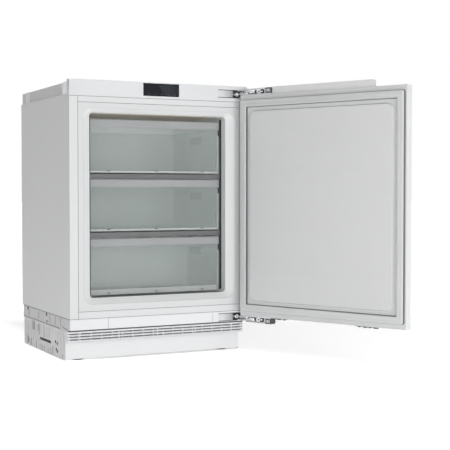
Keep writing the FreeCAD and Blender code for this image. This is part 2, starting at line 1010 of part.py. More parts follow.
def fan_bracket():
    half = fan_frame / 2
    z = fan_height()
    rear = fan_front + fan_frame_depth
    frame = box(fan_x - half, fan_x + half, fan_front, rear, z - half, z + half)
    frame = frame.cut(lengthwise(fan_x, z, fan_front, rear, fan_bore))
    motor = lengthwise(fan_x, z, rear - fan_motor_depth, rear, fan_motor_radius)
    shaft = lengthwise(fan_x, z, fan_front + fan_strut, rear, fan_shaft_radius)
    cross = fan_strut / 2
    bar = box(fan_x - half, fan_x + half, rear - fan_strut, rear, z - cross, z + cross)
    post = box(fan_x - cross, fan_x + cross, rear - fan_strut, rear, z - half, z + half)
    return joined([frame, motor, shaft, bar, post])


def fan_rotor():
    z = fan_height()
    rear = fan_front + fan_frame_depth - fan_motor_depth - fit_gap
    front = rear - fan_hub_depth
    hub = lengthwise(0, 0, front, rear, fan_hub_radius)
    blades = []
    half = fan_blade_sheet / 2
    inside = fan_hub_radius / 2
    pitch = math.radians(fan_blade_pitch)
    chord = (fan_hub_depth - fan_blade_sheet * math.sin(pitch)) / math.cos(pitch)
    sideways = chord / 2 * math.sin(pitch) + half
    sweep = fan_bore - fan_tip_gap
    length = math.sqrt(sweep * sweep - sideways * sideways)
    middle = (front + rear) / 2
    for index in range(fan_blades):
        blade = box(inside, length, -chord / 2, chord / 2, -half, half)
        blade.rotate(V(0, 0, 0), V(1, 0, 0), fan_blade_pitch)
        blade.translate(V(0, middle, 0))
        blade.rotate(V(0, 0, 0), V(0, 1, 0), index * 360 / fan_blades)
        blades.append(blade)
    rotor = joined([hub] + blades)
    rotor = rotor.cut(lengthwise(0, 0, front, rear, fan_shaft_radius + run_gap))
    rotor.translate(V(fan_x, 0, z))
    return rotor


def mains_inlet():
    low = pan_floor_top + inlet_lift
    half = inlet_width / 2
    rear = pan_rear + inlet_depth
    body = box(inlet_x - half, inlet_x + half, pan_rear, rear, low, low + inlet_height)
    wall = inlet_wall
    socket = box(
        inlet_x - half + wall, inlet_x + half - wall, pan_rear + wall, rear,
        low + wall, low + inlet_height - wall,
    )
    return body.cut(socket)


# Door, shaped where it lies when closed
def door_outer_panel():
    outer = box(-half_width, half_width, -door_thickness, -door_rim, door_bottom, door_top)
    half = half_width - sheet
    inner = box(-half, half, -door_thickness + sheet, -door_rim, door_bottom + sheet, door_top - sheet)
    return outer.cut(inner)


def plateau(shrink):
    half = gasket_half - gasket_width - plateau_inset - shrink
    low = gasket_bottom + gasket_width + plateau_inset + shrink
    high = gasket_top - gasket_width - plateau_inset - shrink
    root = -door_rim - door_liner_wall
    crest = -door_rim + plateau_depth - shrink
    draft = plateau_draft
    base = rounded_outline(half, low, high, plateau_corner, root)
    face = rounded_outline(half - draft, low + draft, high - draft, plateau_corner, crest)
    return Part.makeLoft([base, face], True, True)


def door_liner():
    edge = sheet + fit_gap
    half = half_width - edge
    low = door_bottom + edge
    high = door_top - edge
    plate = box(-half, half, -door_rim - door_liner_wall, -door_rim, low, high)
    return joined([plate, plateau(0)]).cut(plateau(door_liner_wall))


def door_foam():
    half = half_width - sheet
    low = door_bottom + sheet
    high = door_top - sheet
    rear = -door_rim - door_liner_wall
    core = box(-half, half, -door_thickness + sheet, rear, low, high)
    return joined([core, plateau(door_liner_wall)])


def door_gasket():
    y0 = -door_rim
    y1 = -seal_gap
    outer = box(-gasket_half, gasket_half, y0, y1, gasket_bottom, gasket_top)
    edges = [e for e in outer.Edges if e.BoundBox.YMin > y1 - fit_gap]
    outer = outer.makeFillet(gasket_round, edges)
    half = gasket_half - gasket_width
    inner = box(-half, half, y0, y1, gasket_bottom + gasket_width, gasket_top - gasket_width)
    return outer.cut(inner)


def bar_hole_places():
    return (-bar_half + bar_hole_inset, bar_half - bar_hole_inset)


def panel_mounting_bar():
    front = -door_thickness
    rear = front + bar_depth
    high = door_top + bar_height
    outer = box(-bar_half, bar_half, front, rear, door_top, high)
    half = bar_half - bar_wall
    inner = box(-half, half, front + bar_wall, rear - bar_wall, door_top, high - bar_wall)
    bar = outer.cut(inner)
    y = (front + rear) / 2
    for x in bar_hole_places():
        bar = bar.cut(upright(x, y, high - bar_wall, high, bar_hole))
    return bar


def panel_brackets():
    high = door_bottom
    low = high - panel_bracket_sheet
    front = -door_thickness
    half = panel_bracket_length / 2
    x = panel_bracket_place
    rear = front + panel_bracket_depth
    plate = box(x - half, x + half, front, rear, low, high)
    middle = (front + rear) / 2
    slot_half = panel_bracket_slot / 2
    slot = box(x - half / 2, x + half / 2, middle - slot_half, middle + slot_half, low, high)
    bracket = plate.cut(slot)
    return group([bracket, mirrored_x(bracket)])


# Upper hinge, shaped with the door closed; the lower one is its mirror image
def hinge_arm():
    block = box(
        slot_left + block_gap, slot_right - block_gap, block_setback, fascia_depth,
        slot_low + block_gap, slot_high - block_gap,
    )
    right = slot_right - block_gap
    plan = [
        (right - arm_root, block_setback), (pivot.x - arm_eye, pivot.y), (pivot.x, pivot.y),
        (link_pivot.x + link_eye, link_pivot.y), (right, -block_gap), (right, block_setback),
    ]
    arm = flat_prism(plan, arm_low, arm_high)
    eye = upright(pivot.x, pivot.y, arm_low, arm_high, arm_eye)
    small_eye = upright(link_pivot.x, link_pivot.y, arm_low, arm_high, link_eye)
    whole = joined([block, arm, eye, small_eye])
    main_hole = upright(pivot.x, pivot.y, arm_low, arm_high, main_pin_radius + run_gap)
    link_hole = upright(
        link_pivot.x, link_pivot.y, arm_low, arm_high, link_pin_radius + run_gap
    )
    whole = whole.cut(main_hole).cut(link_hole)
    for x, z in hinge_screw_places():
        hole = lengthwise(x, z, block_setback, block_setback + screw_length, screw_radius + run_gap)
        whole = whole.cut(hole)
    return whole


def hinge_screw_places():
    z = (slot_low + slot_high) / 2
    return [(slot_left + screw_inset + index * screw_pitch, z) for index in range(2)]


def hinge_screws():
    screws = []
    for x, z in hinge_screw_places():
        face = block_setback
        shank = lengthwise(x, z, face, face + screw_length, screw_radius)
        head = lengthwise(x, z, face - screw_head_height, face, screw_head_radius)
        screws.append(joined([shank, head]))
    return group(screws + [mirrored_hinge(screw) for screw in screws])


def hinge_pin(place, radius, top):
    shank = upright(place.x, place.y, arm_low, top, radius)
    head = upright(place.x, place.y, top, top + pin_head, radius + pin_head_over)
    return joined([shank, head])


def hinge_pins():
    pins = [
        hinge_pin(pivot, main_pin_radius, lever_high + level_gap),
        hinge_pin(link_pivot, link_pin_radius, link_high + level_gap),
    ]
    return group(pins + [mirrored_hinge(pin) for pin in pins])


def hinge_plate_end():
    return bar_half + fit_gap


def guide_pin_place():
    return V(pivot.x - link_reach, pivot.y, 0)


def door_hinge():
    right = half_width - hinge_plate_margin
    plate = box(
        hinge_plate_end(), right, -door_thickness + hinge_plate_inset, -door_rim - hinge_plate_inset,
        door_top, plate_top,
    )
    near = pivot.x - lever_start
    far = pivot.x - lever_end
    block = box(far, near, pivot.y - lever_eye, pivot.y + lever_eye, plate_top, lever_high)
    lever = box(near, pivot.x, pivot.y - lever_eye, pivot.y + lever_eye, lever_low, lever_high)
    eye = upright(pivot.x, pivot.y, lever_low, lever_high, lever_eye)
    guide = guide_pin_place()
    guide_pin = upright(guide.x, guide.y, lever_high, link_high, link_pin_radius)
    whole = joined([plate, block, lever, eye, guide_pin])
    hole = upright(pivot.x, pivot.y, lever_low, lever_high, main_pin_radius + run_gap)
    whole = whole.cut(hole)
    for x, y in door_screw_places():
        whole = whole.cut(upright(x, y, door_top, plate_top, screw_radius + run_gap))
    return whole


def door_screw_places():
    x = pivot.x - lever_end - door_screw_inset
    return [(x, pivot.y - lever_eye), (x, pivot.y + lever_eye)]


def door_hinge_screws():
    screws = []
    for x, y in door_screw_places():
        shank = upright(x, y, door_top, plate_top, screw_radius)
        head = upright(x, y, plate_top, plate_top + screw_head_height, screw_head_radius)
        screws.append(joined([shank, head]))
    return group(screws + [mirrored_hinge(screw) for screw in screws])


def hinge_caps():
    left = hinge_plate_end()
    front = -door_thickness + hinge_plate_inset
    rear = -door_rim - hinge_plate_inset
    cap = box(left, left + cap_length, front, rear, plate_top, plate_top + cap_height)
    edges = [e for e in cap.Edges if e.BoundBox.ZMin > plate_top + fit_gap]
    cap = cap.makeFillet(hinge_plate_inset, edges)
    return group([cap, mirrored_hinge(cap)])


def guide_distance(degrees):
    guide = V(guide_pin_place())
    arm = guide - pivot
    angle = math.radians(degrees)
    moved = pivot + V(
        arm.x * math.cos(angle) - arm.y * math.sin(angle),
        arm.x * math.sin(angle) + arm.y * math.cos(angle),
        0,
    )
    return moved - link_pivot


def link_swing():
    closed = guide_distance(0)
    open_ = guide_distance(door_angle)
    return math.degrees(closed.getAngle(open_))


def hinge_link():
    near = guide_distance(0).Length
    far = guide_distance(door_angle / 2).Length
    half = link_width / 2
    slot_half = link_pin_radius + link_play
    bar = box(0, far + slot_half, -half, half, link_low, link_high)
    root = upright(0, 0, link_low, link_high, half)
    tip = upright(far + slot_half, 0, link_low, link_high, half)
    slot = box(near, far, -slot_half, slot_half, link_low, link_high)
    slot_ends = [upright(x, 0, link_low, link_high, slot_half) for x in (near, far)]
    bore = upright(0, 0, link_low, link_high, link_pin_radius + run_gap)
    link = joined([bar, root, tip])
    for hole in [slot, bore] + slot_ends:
        link = link.cut(hole)
    direction = guide_distance(0)
    link.rotate(V(0, 0, 0), V(0, 0, 1), math.degrees(math.atan2(direction.y, direction.x)))
    link.translate(link_pivot)
    return turned(link, link_pivot, link_swing())


def pieces():
    left_panel = side_panel_left()
    arm = hinge_arm()
    plate = opened(door_hinge())
    link = hinge_link()
    shapes = {
        "left_side_panel": left_panel,
        "right_side_panel": mirrored_x(left_panel),
        "back_panel": back_panel(),
        "upper_cross_rail": upper_cross_rail(),
        "lower_cross_rail": lower_cross_rail(),
        "inner_liner": inner_liner(),
        "evaporator_coil": evaporator_coil(),
        "cabinet_foam": cabinet_foam(),
        "top_cover": top_cover(),
        "rear_clips": rear_clips(),
        "worktop_brackets": worktop_brackets(),
        "control_fascia": control_fascia(),
        "display_glass": display_glass(),
        "control_board": control_board(),
        "upper_shelf": shelf(upper_shelf_top),
        "lower_shelf": shelf(lower_shelf_top),
        "upper_shelf_trim": shelf_trim(upper_shelf_top),
        "lower_shelf_trim": shelf_trim(lower_shelf_top),
        "base_pan": base_pan(),
        "base_carrier": base_carrier(),
        "left_base_cover": left_base_cover(),
        "middle_base_cover": middle_base_cover(),
        "right_base_cover": right_base_cover(),
        "ventilation_grille": ventilation_grille(),
        "plinth_panel": plinth_panel(),
        "compressor": compressor(),
        "compressor_mounts": compressor_mounts(),
        "condenser": condenser(),
        "discharge_line": discharge_line(),
        "suction_line": suction_line(),
        "liquid_line": liquid_line(),
        "fan_bracket": fan_bracket(),
        "fan_rotor": fan_rotor(),
        "mains_inlet": mains_inlet(),
        "upper_hinge_arm": arm,
        "lower_hinge_arm": mirrored_hinge(arm),
        "hinge_pins": hinge_pins(),
        "hinge_screws": hinge_screws(),
        "upper_hinge_link": link,
        "lower_hinge_link": mirrored_hinge(link),
        "upper_door_hinge": plate,
        "lower_door_hinge": mirrored_hinge(plate),
    }
    for name, (x, y) in foot_places().items():
        shapes[name] = foot(x, y)
    door_pieces = {
        "door_outer_panel": door_outer_panel(),
        "door_liner": door_liner(),
        "door_foam": door_foam(),
        "door_gasket": door_gasket(),
        "panel_mounting_bar": panel_mounting_bar(),
        "panel_brackets": panel_brackets(),
        "door_hinge_screws": door_hinge_screws(),
        "hinge_caps": hinge_caps(),
    }
    for name, shape in door_pieces.items():
        shapes[name] = opened(shape)
    drawers = {
        "bottom_drawer": (liner_floor, bottom_drawer_top, True),
        "middle_drawer": (lower_shelf_top, middle_drawer_top, False),
        "top_drawer": (upper_shelf_top, top_drawer_top, False),
    }
    for name, (seat, top, stepped) in drawers.items():
        shapes[name + "_bin"] = drawer_bin(seat, top, stepped)
        shapes[name + "_handle"] = drawer_handle(top)
    return shapes


def main():
    os.makedirs("parts", exist_ok=True)
    for name, shape in pieces().items():
        solids = shape.Solids
        whole = solids[0] if len(solids) == 1 else Part.makeCompound(solids)
        whole.exportStep("parts/" + name + ".step")
        print(name, len(solids), round(whole.Volume / 1000, 2), whole.isValid())
    print("hinge link swing", round(link_swing(), 3), "ratio", round(link_swing() / door_angle, 5))


main()
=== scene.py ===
import bpy
import bmesh
import json
import math
from mathutils import Matrix, Vector

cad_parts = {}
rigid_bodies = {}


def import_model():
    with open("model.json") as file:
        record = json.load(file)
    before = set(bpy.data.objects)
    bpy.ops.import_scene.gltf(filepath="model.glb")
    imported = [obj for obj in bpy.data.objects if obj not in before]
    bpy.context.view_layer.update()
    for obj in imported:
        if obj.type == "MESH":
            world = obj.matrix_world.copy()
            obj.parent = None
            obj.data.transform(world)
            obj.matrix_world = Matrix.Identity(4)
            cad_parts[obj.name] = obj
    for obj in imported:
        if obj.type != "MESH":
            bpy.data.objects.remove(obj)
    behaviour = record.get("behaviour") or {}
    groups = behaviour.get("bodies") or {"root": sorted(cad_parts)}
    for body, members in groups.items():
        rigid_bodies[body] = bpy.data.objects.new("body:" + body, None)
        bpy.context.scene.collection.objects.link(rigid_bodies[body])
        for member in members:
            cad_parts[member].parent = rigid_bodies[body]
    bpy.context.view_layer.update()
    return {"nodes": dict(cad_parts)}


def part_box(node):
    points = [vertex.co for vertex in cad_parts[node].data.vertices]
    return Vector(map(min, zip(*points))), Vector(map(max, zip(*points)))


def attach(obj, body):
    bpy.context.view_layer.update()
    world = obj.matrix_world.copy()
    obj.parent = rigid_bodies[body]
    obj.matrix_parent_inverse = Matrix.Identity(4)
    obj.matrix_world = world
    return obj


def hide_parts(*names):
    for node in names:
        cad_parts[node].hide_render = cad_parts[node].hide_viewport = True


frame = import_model()
nodes = frame["nodes"]
scene = bpy.context.scene
scene.view_settings.view_transform = 'Standard'
mm = 0.001
print("frame loaded:", len(nodes), "nodes")

# how the open door stands: turned about the main hinge pin
doorSwing = {"pivot": (285.5, -29.7, 0), "angle": 115}
pivotPoint = Vector(doorSwing["pivot"]) * mm
doorOpen = (Matrix.Translation(pivotPoint) @ Matrix.Rotation(math.radians(doorSwing["angle"]), 4, 'Z')
            @ Matrix.Translation(-pivotPoint))
hingeMiddle = 472.5  # the lower hinge mirrors the upper one about this height


# camera
cameraSetup = {"place": (-1.3252, -3.0779, 0.5205), "pitch": 0.0317855, "yaw": 0.465418, "lens": 86.05,
               "sensor": 36, "far": 100}
cam = bpy.data.objects.new("viewCamera", bpy.data.cameras.new("viewCamera"))
scene.collection.objects.link(cam)
cam.location = cameraSetup["place"]
cam.rotation_euler = (math.pi / 2 - cameraSetup["pitch"], 0, -cameraSetup["yaw"])
cam.data.lens = cameraSetup["lens"]
cam.data.sensor_width = cameraSetup["sensor"]
cam.data.clip_end = cameraSetup["far"]
scene.camera = cam


# mesh helpers: they work in millimetres, and putPiece scales the finished mesh to metres
def nodeBox(name):
    low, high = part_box(name)
    return low / mm, high / mm


def addBox(bm, x0, x1, y0, y1, z0, z1):
    v = [bm.verts.new(p) for p in ((x0, y0, z0), (x1, y0, z0), (x1, y1, z0), (x0, y1, z0),
                                   (x0, y0, z1), (x1, y0, z1), (x1, y1, z1), (x0, y1, z1))]
    for f in ((0, 3, 2, 1), (4, 5, 6, 7), (0, 1, 5, 4), (1, 2, 6, 5), (2, 3, 7, 6), (3, 0, 4, 7)):
        bm.faces.new([v[i] for i in f])


def addPair(bm, inner, outer, y0, y1, z0, z1):
    # the same box on both sides of the middle
    addBox(bm, -outer, -inner, y0, y1, z0, z1)
    addBox(bm, inner, outer, y0, y1, z0, z1)


def onAxis(axis, along, a, b):
    return {'X': (along, a, b), 'Y': (a, along, b), 'Z': (a, b, along)}[axis]


def addLoop(bm, centre, axis, along, outline):
    return [bm.verts.new(Vector(centre) + Vector(onAxis(axis, along, a, b))) for a, b in outline]


def joinRings(bm, rings, caps):
    for lower, upper in zip(rings, rings[1:]):
        for i in range(len(lower)):
            j = (i + 1) % len(lower)
            bm.faces.new((lower[i], lower[j], upper[j], upper[i]))
    if caps:
        bm.faces.new(rings[0][::-1])
        bm.faces.new(rings[-1])


def addPrism(bm, outline, axis, start, end):
    joinRings(bm, [addLoop(bm, (0, 0, 0), axis, t, outline) for t in (start, end)], True)


def circle(radius, segments, start=0.0):
    angles = [start + 2 * math.pi * i / segments for i in range(segments)]
    return [(radius * math.cos(t), radius * math.sin(t)) for t in angles]


def addLathe(bm, centre, axis, profile, segments=32, caps=True, start=0.0):
    rings = [addLoop(bm, centre, axis, along, circle(radius, segments, start)) for radius, along in profile]
    joinRings(bm, rings, caps)


def addWasher(bm, centre, axis, outer, inner, start, end, segments=28):
    profile = ((inner, start), (outer, start), (outer, end), (inner, end), (inner, start))
    addLathe(bm, centre, axis, profile, segments, False)


def roundedRect(x0, x1, z0, z1, radius, steps=5):
    points = []
    for cx, cz, start in ((x1 - radius, z0 + radius, -90), (x1 - radius, z1 - radius, 0),
                          (x0 + radius, z1 - radius, 90), (x0 + radius, z0 + radius, 180)):
        for k in range(steps + 1):
            t = math.radians(start + 90 * k / steps)
            points.append((cx + radius * math.cos(t), cz + radius * math.sin(t)))
    return points


beadRound = 0.98  # how much of its half width rounds a bead's end


def addBeads(bm, axis, face, start, end, look, steps=6):
    # a row of round-ended beads; each layer is drawn in and raised
    for x in look["beads"]:
        rings = []
        for inset, rise in look["layers"]:
            w = look["wide"] / 2 - inset
            outline = roundedRect(x - w, x + w, start + inset, end - inset, w * beadRound, steps)
            rings.append(addLoop(bm, (0, 0, 0), axis, face + rise, outline))
        joinRings(bm, rings, True)


edgeLook = {"segments": 2, "limit": 40, "weld": 0.02}


def softenEdges(piece, width, welded=False):
    if welded:
        weld = piece.modifiers.new("weld", 'WELD')
        weld.merge_threshold = edgeLook["weld"] * mm
    soft = piece.modifiers.new("softEdges", 'BEVEL')
    soft.width = width * mm
    soft.segments = edgeLook["segments"]
    soft.limit_method = 'ANGLE'
    soft.angle_limit = math.radians(edgeLook["limit"])
    soft.harden_normals = True
    soft.miter_outer = 'MITER_ARC'


def putPiece(name, bm, material, body, bevel=0, stands=(), turn=None, smooth=30):
    bmesh.ops.scale(bm, vec=(mm, mm, mm), verts=bm.verts)
    bmesh.ops.remove_doubles(bm, verts=bm.verts, dist=mm * mm)
    if turn is not None:
        bmesh.ops.transform(bm, matrix=turn, verts=bm.verts)
    bmesh.ops.recalc_face_normals(bm, faces=bm.faces)
    mesh = bpy.data.meshes.new(name)
    bm.to_mesh(mesh)
    bm.free()
    piece = bpy.data.objects.new(name, mesh)
    scene.collection.objects.link(piece)
    mesh.materials.append(material)
    mesh.shade_smooth()
    mesh.set_sharp_from_angle(angle=math.radians(smooth))
    if bevel:
        softenEdges(piece, bevel)
    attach(piece, body)
    if stands:
        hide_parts(*stands)


def copyVerts(bm):
    copy = bmesh.ops.duplicate(bm, geom=bm.verts[:] + bm.edges[:] + bm.faces[:])["geom"]
    return [g for g in copy if isinstance(g, bmesh.types.BMVert)]


def mirrorX(bm):
    for vert in copyVerts(bm):
        vert.co.x = -vert.co.x


def mirrorHinge(bm):
    for vert in copyVerts(bm):
        vert.co.z = 2 * hingeMiddle - vert.co.z


# shader node groups, shared by the finishes below
def newGroup(name, inputs, outputs):
    tree = bpy.data.node_groups.new(name, 'ShaderNodeTree')
    for label, kind, value in inputs:
        socket = tree.interface.new_socket(label, in_out='INPUT', socket_type=kind)
        socket.default_value = value
    for label, kind in outputs:
        tree.interface.new_socket(label, in_out='OUTPUT', socket_type=kind)
    return tree, tree.nodes.new('NodeGroupInput').outputs, tree.nodes.new('NodeGroupOutput').inputs


colorKind, valueKind, vectorKind = 'NodeSocketColor', 'NodeSocketFloat', 'NodeSocketVector'


def feed(tree, node, values):
    # a value is either a number or colour, or a socket to link
    for label, value in values.items():
        if isinstance(value, bpy.types.NodeSocket):
            tree.links.new(value, node.inputs[label])
        else:
            node.inputs[label].default_value = value


def addMath(tree, kind, a, b, clamp=False):
    node = tree.nodes.new('ShaderNodeMath')
    node.operation = kind
    node.use_clamp = clamp
    feed(tree, node, {0: a, 1: b})
    return node.outputs[0]


def addMix(tree, factor, a, b):
    node = tree.nodes.new('ShaderNodeMix')
    node.data_type = 'RGBA'
    feed(tree, node, {0: factor, 6: a, 7: b})
    return node.outputs[2]


def addNoise(tree, vector, scale, detail=3.0, rough=0.5):
    node = tree.nodes.new('ShaderNodeTexNoise')
    feed(tree, node, {'Vector': vector, 'Scale': scale, 'Detail': detail, 'Roughness': rough})
    return node.outputs['Fac']


def addRange(tree, value, low, high, toLow=0.0, toHigh=1.0):
    node = tree.nodes.new('ShaderNodeMapRange')
    feed(tree, node, {'Value': value, 'From Min': low, 'From Max': high, 'To Min': toLow, 'To Max': toHigh})
    return node.outputs['Result']


def objectPlace(tree):
    return tree.nodes.new('ShaderNodeTexCoord').outputs['Object']


driftLook = {"detail": 3.0, "from": 0.36, "to": 0.66}


def makeToneDrift():
    # slow change of tone over a surface
    tree, gin, gout = newGroup("toneDrift", (("Color", colorKind, (0.8, 0.8, 0.8, 1)),
                                             ("Shade", colorKind, (0.7, 0.7, 0.7, 1)),
                                             ("Scale", valueKind, 6.0), ("Amount", valueKind, 0.3)),
                               (("Color", colorKind), ("Mask", valueKind)))
    cloud = addNoise(tree, objectPlace(tree), gin["Scale"], driftLook["detail"])
    mask = addRange(tree, cloud, driftLook["from"], driftLook["to"])
    share = addMath(tree, 'MULTIPLY', mask, gin["Amount"])
    tree.links.new(addMix(tree, share, gin["Color"], gin["Shade"]), gout["Color"])
    tree.links.new(mask, gout["Mask"])
    return tree


grainLook = {"detail": 4.0, "rough": 0.65, "patch": 22.0, "patchDetail": 2.0}


def makeMouldGrain():
    # spark-eroded grain of moulded plastic
    tree, gin, gout = newGroup("mouldGrain", (("Scale", valueKind, 1400.0), ("Rough", valueKind, 0.4),
                                              ("Spread", valueKind, 0.1)),
                               (("Height", valueKind), ("Roughness", valueKind)))
    place = objectPlace(tree)
    grain = addNoise(tree, place, gin["Scale"], grainLook["detail"], grainLook["rough"])
    patch = addNoise(tree, place, grainLook["patch"], grainLook["patchDetail"])
    swing = addMath(tree, 'SUBTRACT', addMath(tree, 'ADD', addMath(tree, 'MULTIPLY', grain, 0.5),
                                              addMath(tree, 'MULTIPLY', patch, 0.5)), 0.5)
    rough = addMath(tree, 'ADD', gin["Rough"],
                    addMath(tree, 'MULTIPLY', swing, gin["Spread"]), True)
    tree.links.new(grain, gout["Height"])
    tree.links.new(rough, gout["Roughness"])
    return tree


peelLook = {"slow": 9.0, "slowDetail": 2.0, "slowShare": 1.5}


def makeEnamelPeel():
    # the shallow orange peel of sprayed and baked enamel
    tree, gin, gout = newGroup("enamelPeel", (("Scale", valueKind, 420.0), ("Rough", valueKind, 0.3),
                                              ("Spread", valueKind, 0.08)),
                               (("Height", valueKind), ("Roughness", valueKind)))
    place = objectPlace(tree)
    cells = tree.nodes.new('ShaderNodeTexVoronoi')
    cells.feature = 'SMOOTH_F1'
    tree.links.new(place, cells.inputs['Vector'])
    tree.links.new(gin["Scale"], cells.inputs['Scale'])
    slow = addNoise(tree, place, peelLook["slow"], peelLook["slowDetail"])
    height = addMath(tree, 'ADD', cells.outputs['Distance'],
                     addMath(tree, 'MULTIPLY', slow, peelLook["slowShare"]))
    rough = addMath(tree, 'ADD', gin["Rough"], addMath(
        tree, 'MULTIPLY', addMath(tree, 'SUBTRACT', slow, 0.5), gin["Spread"]), True)
    tree.links.new(height, gout["Height"])
    tree.links.new(rough, gout["Roughness"])
    return tree


dustLook = {"detail": 5.0, "rough": 0.6, "from": 0.35, "to": 0.7, "steep": 0.2, "level": 0.95}


def makeDustFilm():
    # a thin film of dust on faces that look up
    tree, gin, gout = newGroup("dustFilm", (("Color", colorKind, (0.8, 0.8, 0.8, 1)),
                                            ("Dust", colorKind, (0.62, 0.6, 0.57, 1)),
                                            ("Amount", valueKind, 0.2), ("Scale", valueKind, 60.0)),
                               (("Color", colorKind), ("Mask", valueKind)))
    geo = tree.nodes.new('ShaderNodeNewGeometry')
    split = tree.nodes.new('ShaderNodeSeparateXYZ')
    tree.links.new(geo.outputs['Normal'], split.inputs[0])
    upward = addRange(tree, split.outputs['Z'], dustLook["steep"], dustLook["level"])
    cloud = addNoise(tree, objectPlace(tree), gin["Scale"], dustLook["detail"], dustLook["rough"])
    cloud = addRange(tree, cloud, dustLook["from"], dustLook["to"])
    mask = addMath(tree, 'MULTIPLY', addMath(tree, 'MULTIPLY', upward, cloud), gin["Amount"])
    tree.links.new(addMix(tree, mask, gin["Color"], gin["Dust"]), gout["Color"])
    tree.links.new(mask, gout["Mask"])
    return tree


lineLook = {"detail": 4.0, "rough": 0.6, "from": 0.3, "to": 0.7}


def makeDrawnLines():
    # fine lines of drawn, rolled or brushed metal
    tree, gin, gout = newGroup("drawnLines", (("Color", colorKind, (0.6, 0.6, 0.6, 1)),
                                              ("Shade", colorKind, (0.4, 0.4, 0.4, 1)),
                                              ("Stretch", vectorKind, (20.0, 900.0, 900.0)),
                                              ("Amount", valueKind, 0.4), ("Rough", valueKind, 0.3),
                                              ("Spread", valueKind, 0.2)),
                               (("Color", colorKind), ("Roughness", valueKind), ("Height", valueKind)))
    scaled = tree.nodes.new('ShaderNodeVectorMath')
    scaled.operation = 'MULTIPLY'
    tree.links.new(objectPlace(tree), scaled.inputs[0])
    tree.links.new(gin["Stretch"], scaled.inputs[1])
    lines = addNoise(tree, scaled.outputs[0], 1.0, lineLook["detail"], lineLook["rough"])
    share = addMath(tree, 'MULTIPLY', addRange(tree, lines, lineLook["from"], lineLook["to"]),
                    gin["Amount"])
    rough = addMath(tree, 'ADD', gin["Rough"], addMath(
        tree, 'MULTIPLY', addMath(tree, 'SUBTRACT', lines, 0.5), gin["Spread"]), True)
    tree.links.new(addMix(tree, share, gin["Color"], gin["Shade"]), gout["Color"])
    tree.links.new(rough, gout["Roughness"])
    tree.links.new(lines, gout["Height"])
    return tree


scuffLook = {"ways": (((1.0, 0.06, 1.0), 0.5), ((0.05, 1.0, 0.8), 1.3)), "turn": (1.0, 0.7, 1.9),
             "detail": 6.0, "rough": 0.7, "from": 0.62, "to": 0.72}


def makeScuffs():
    # short handling scratches
    tree, gin, gout = newGroup("handlingScuffs", (("Scale", valueKind, 30.0), ("Amount", valueKind, 0.3)),
                               (("Mask", valueKind),))
    place = objectPlace(tree)
    masks = []
    for stretch, angle in scuffLook["ways"]:
        mapping = tree.nodes.new('ShaderNodeMapping')
        mapping.inputs['Rotation'].default_value = [angle * share for share in scuffLook["turn"]]
        mapping.inputs['Scale'].default_value = stretch
        tree.links.new(place, mapping.inputs['Vector'])
        streaks = addNoise(tree, mapping.outputs[0], gin["Scale"], scuffLook["detail"],
                           scuffLook["rough"])
        masks.append(addRange(tree, streaks, scuffLook["from"], scuffLook["to"]))
    both = addMath(tree, 'MAXIMUM', masks[0], masks[1])
    tree.links.new(addMath(tree, 'MULTIPLY', both, gin["Amount"]), gout["Mask"])
    return tree


toneDrift = makeToneDrift()
mouldGrain = makeMouldGrain()
enamelPeel = makeEnamelPeel()
dustFilm = makeDustFilm()
drawnLines = makeDrawnLines()
handlingScuffs = makeScuffs()
print("node groups made")


# finishes
def newMaterial(name):
    material = bpy.data.materials.new(name)
    material.use_nodes = True
    tree = material.node_tree
    return material, tree, tree.nodes["Principled BSDF"]


def placeGroup(tree, group, **values):
    node = tree.nodes.new('ShaderNodeGroup')
    node.node_tree = group
    feed(tree, node, values)
    return node


def rgba(color):
    return (color[0], color[1], color[2], 1.0)


def addBump(tree, shader, height, depth, strength=1.0):
    bump = tree.nodes.new('ShaderNodeBump')
    feed(tree, bump, {'Strength': strength, 'Distance': depth, 'Height': height})
    tree.links.new(bump.outputs['Normal'], shader.inputs['Normal'])


def splitPlace(tree):
    split = tree.nodes.new('ShaderNodeSeparateXYZ')
    tree.links.new(objectPlace(tree), split.inputs[0])
    return split.outputs


def placeDrift(tree, look):
    return placeGroup(tree, toneDrift, Color=rgba(look["color"]), Shade=rgba(look["shade"]),
                      Scale=look["patch"], Amount=look["drift"])


def placeGrain(tree, look):
    return placeGroup(tree, mouldGrain, Scale=look["grain"], Rough=look["rough"], Spread=look["spread"])


def linkLook(tree, shader, color, surface):
    feed(tree, shader, {'Base Color': color, 'Roughness': surface.outputs["Roughness"]})


def wornColor(tree, look):
    # the colour with its drift of tone, its dust and its handling scuffs
    tone = placeDrift(tree, look)
    dust = placeGroup(tree, dustFilm, Color=tone.outputs["Color"], Amount=look["dust"],
                      Scale=look["dustScale"])
    color = dust.outputs["Color"]
    if "scuff" in look:
        scuff = placeGroup(tree, handlingScuffs, Scale=look["scuffScale"], Amount=look["scuff"])
        color = addMix(tree, scuff.outputs["Mask"], color, rgba(look["scuffColor"]))
    return color


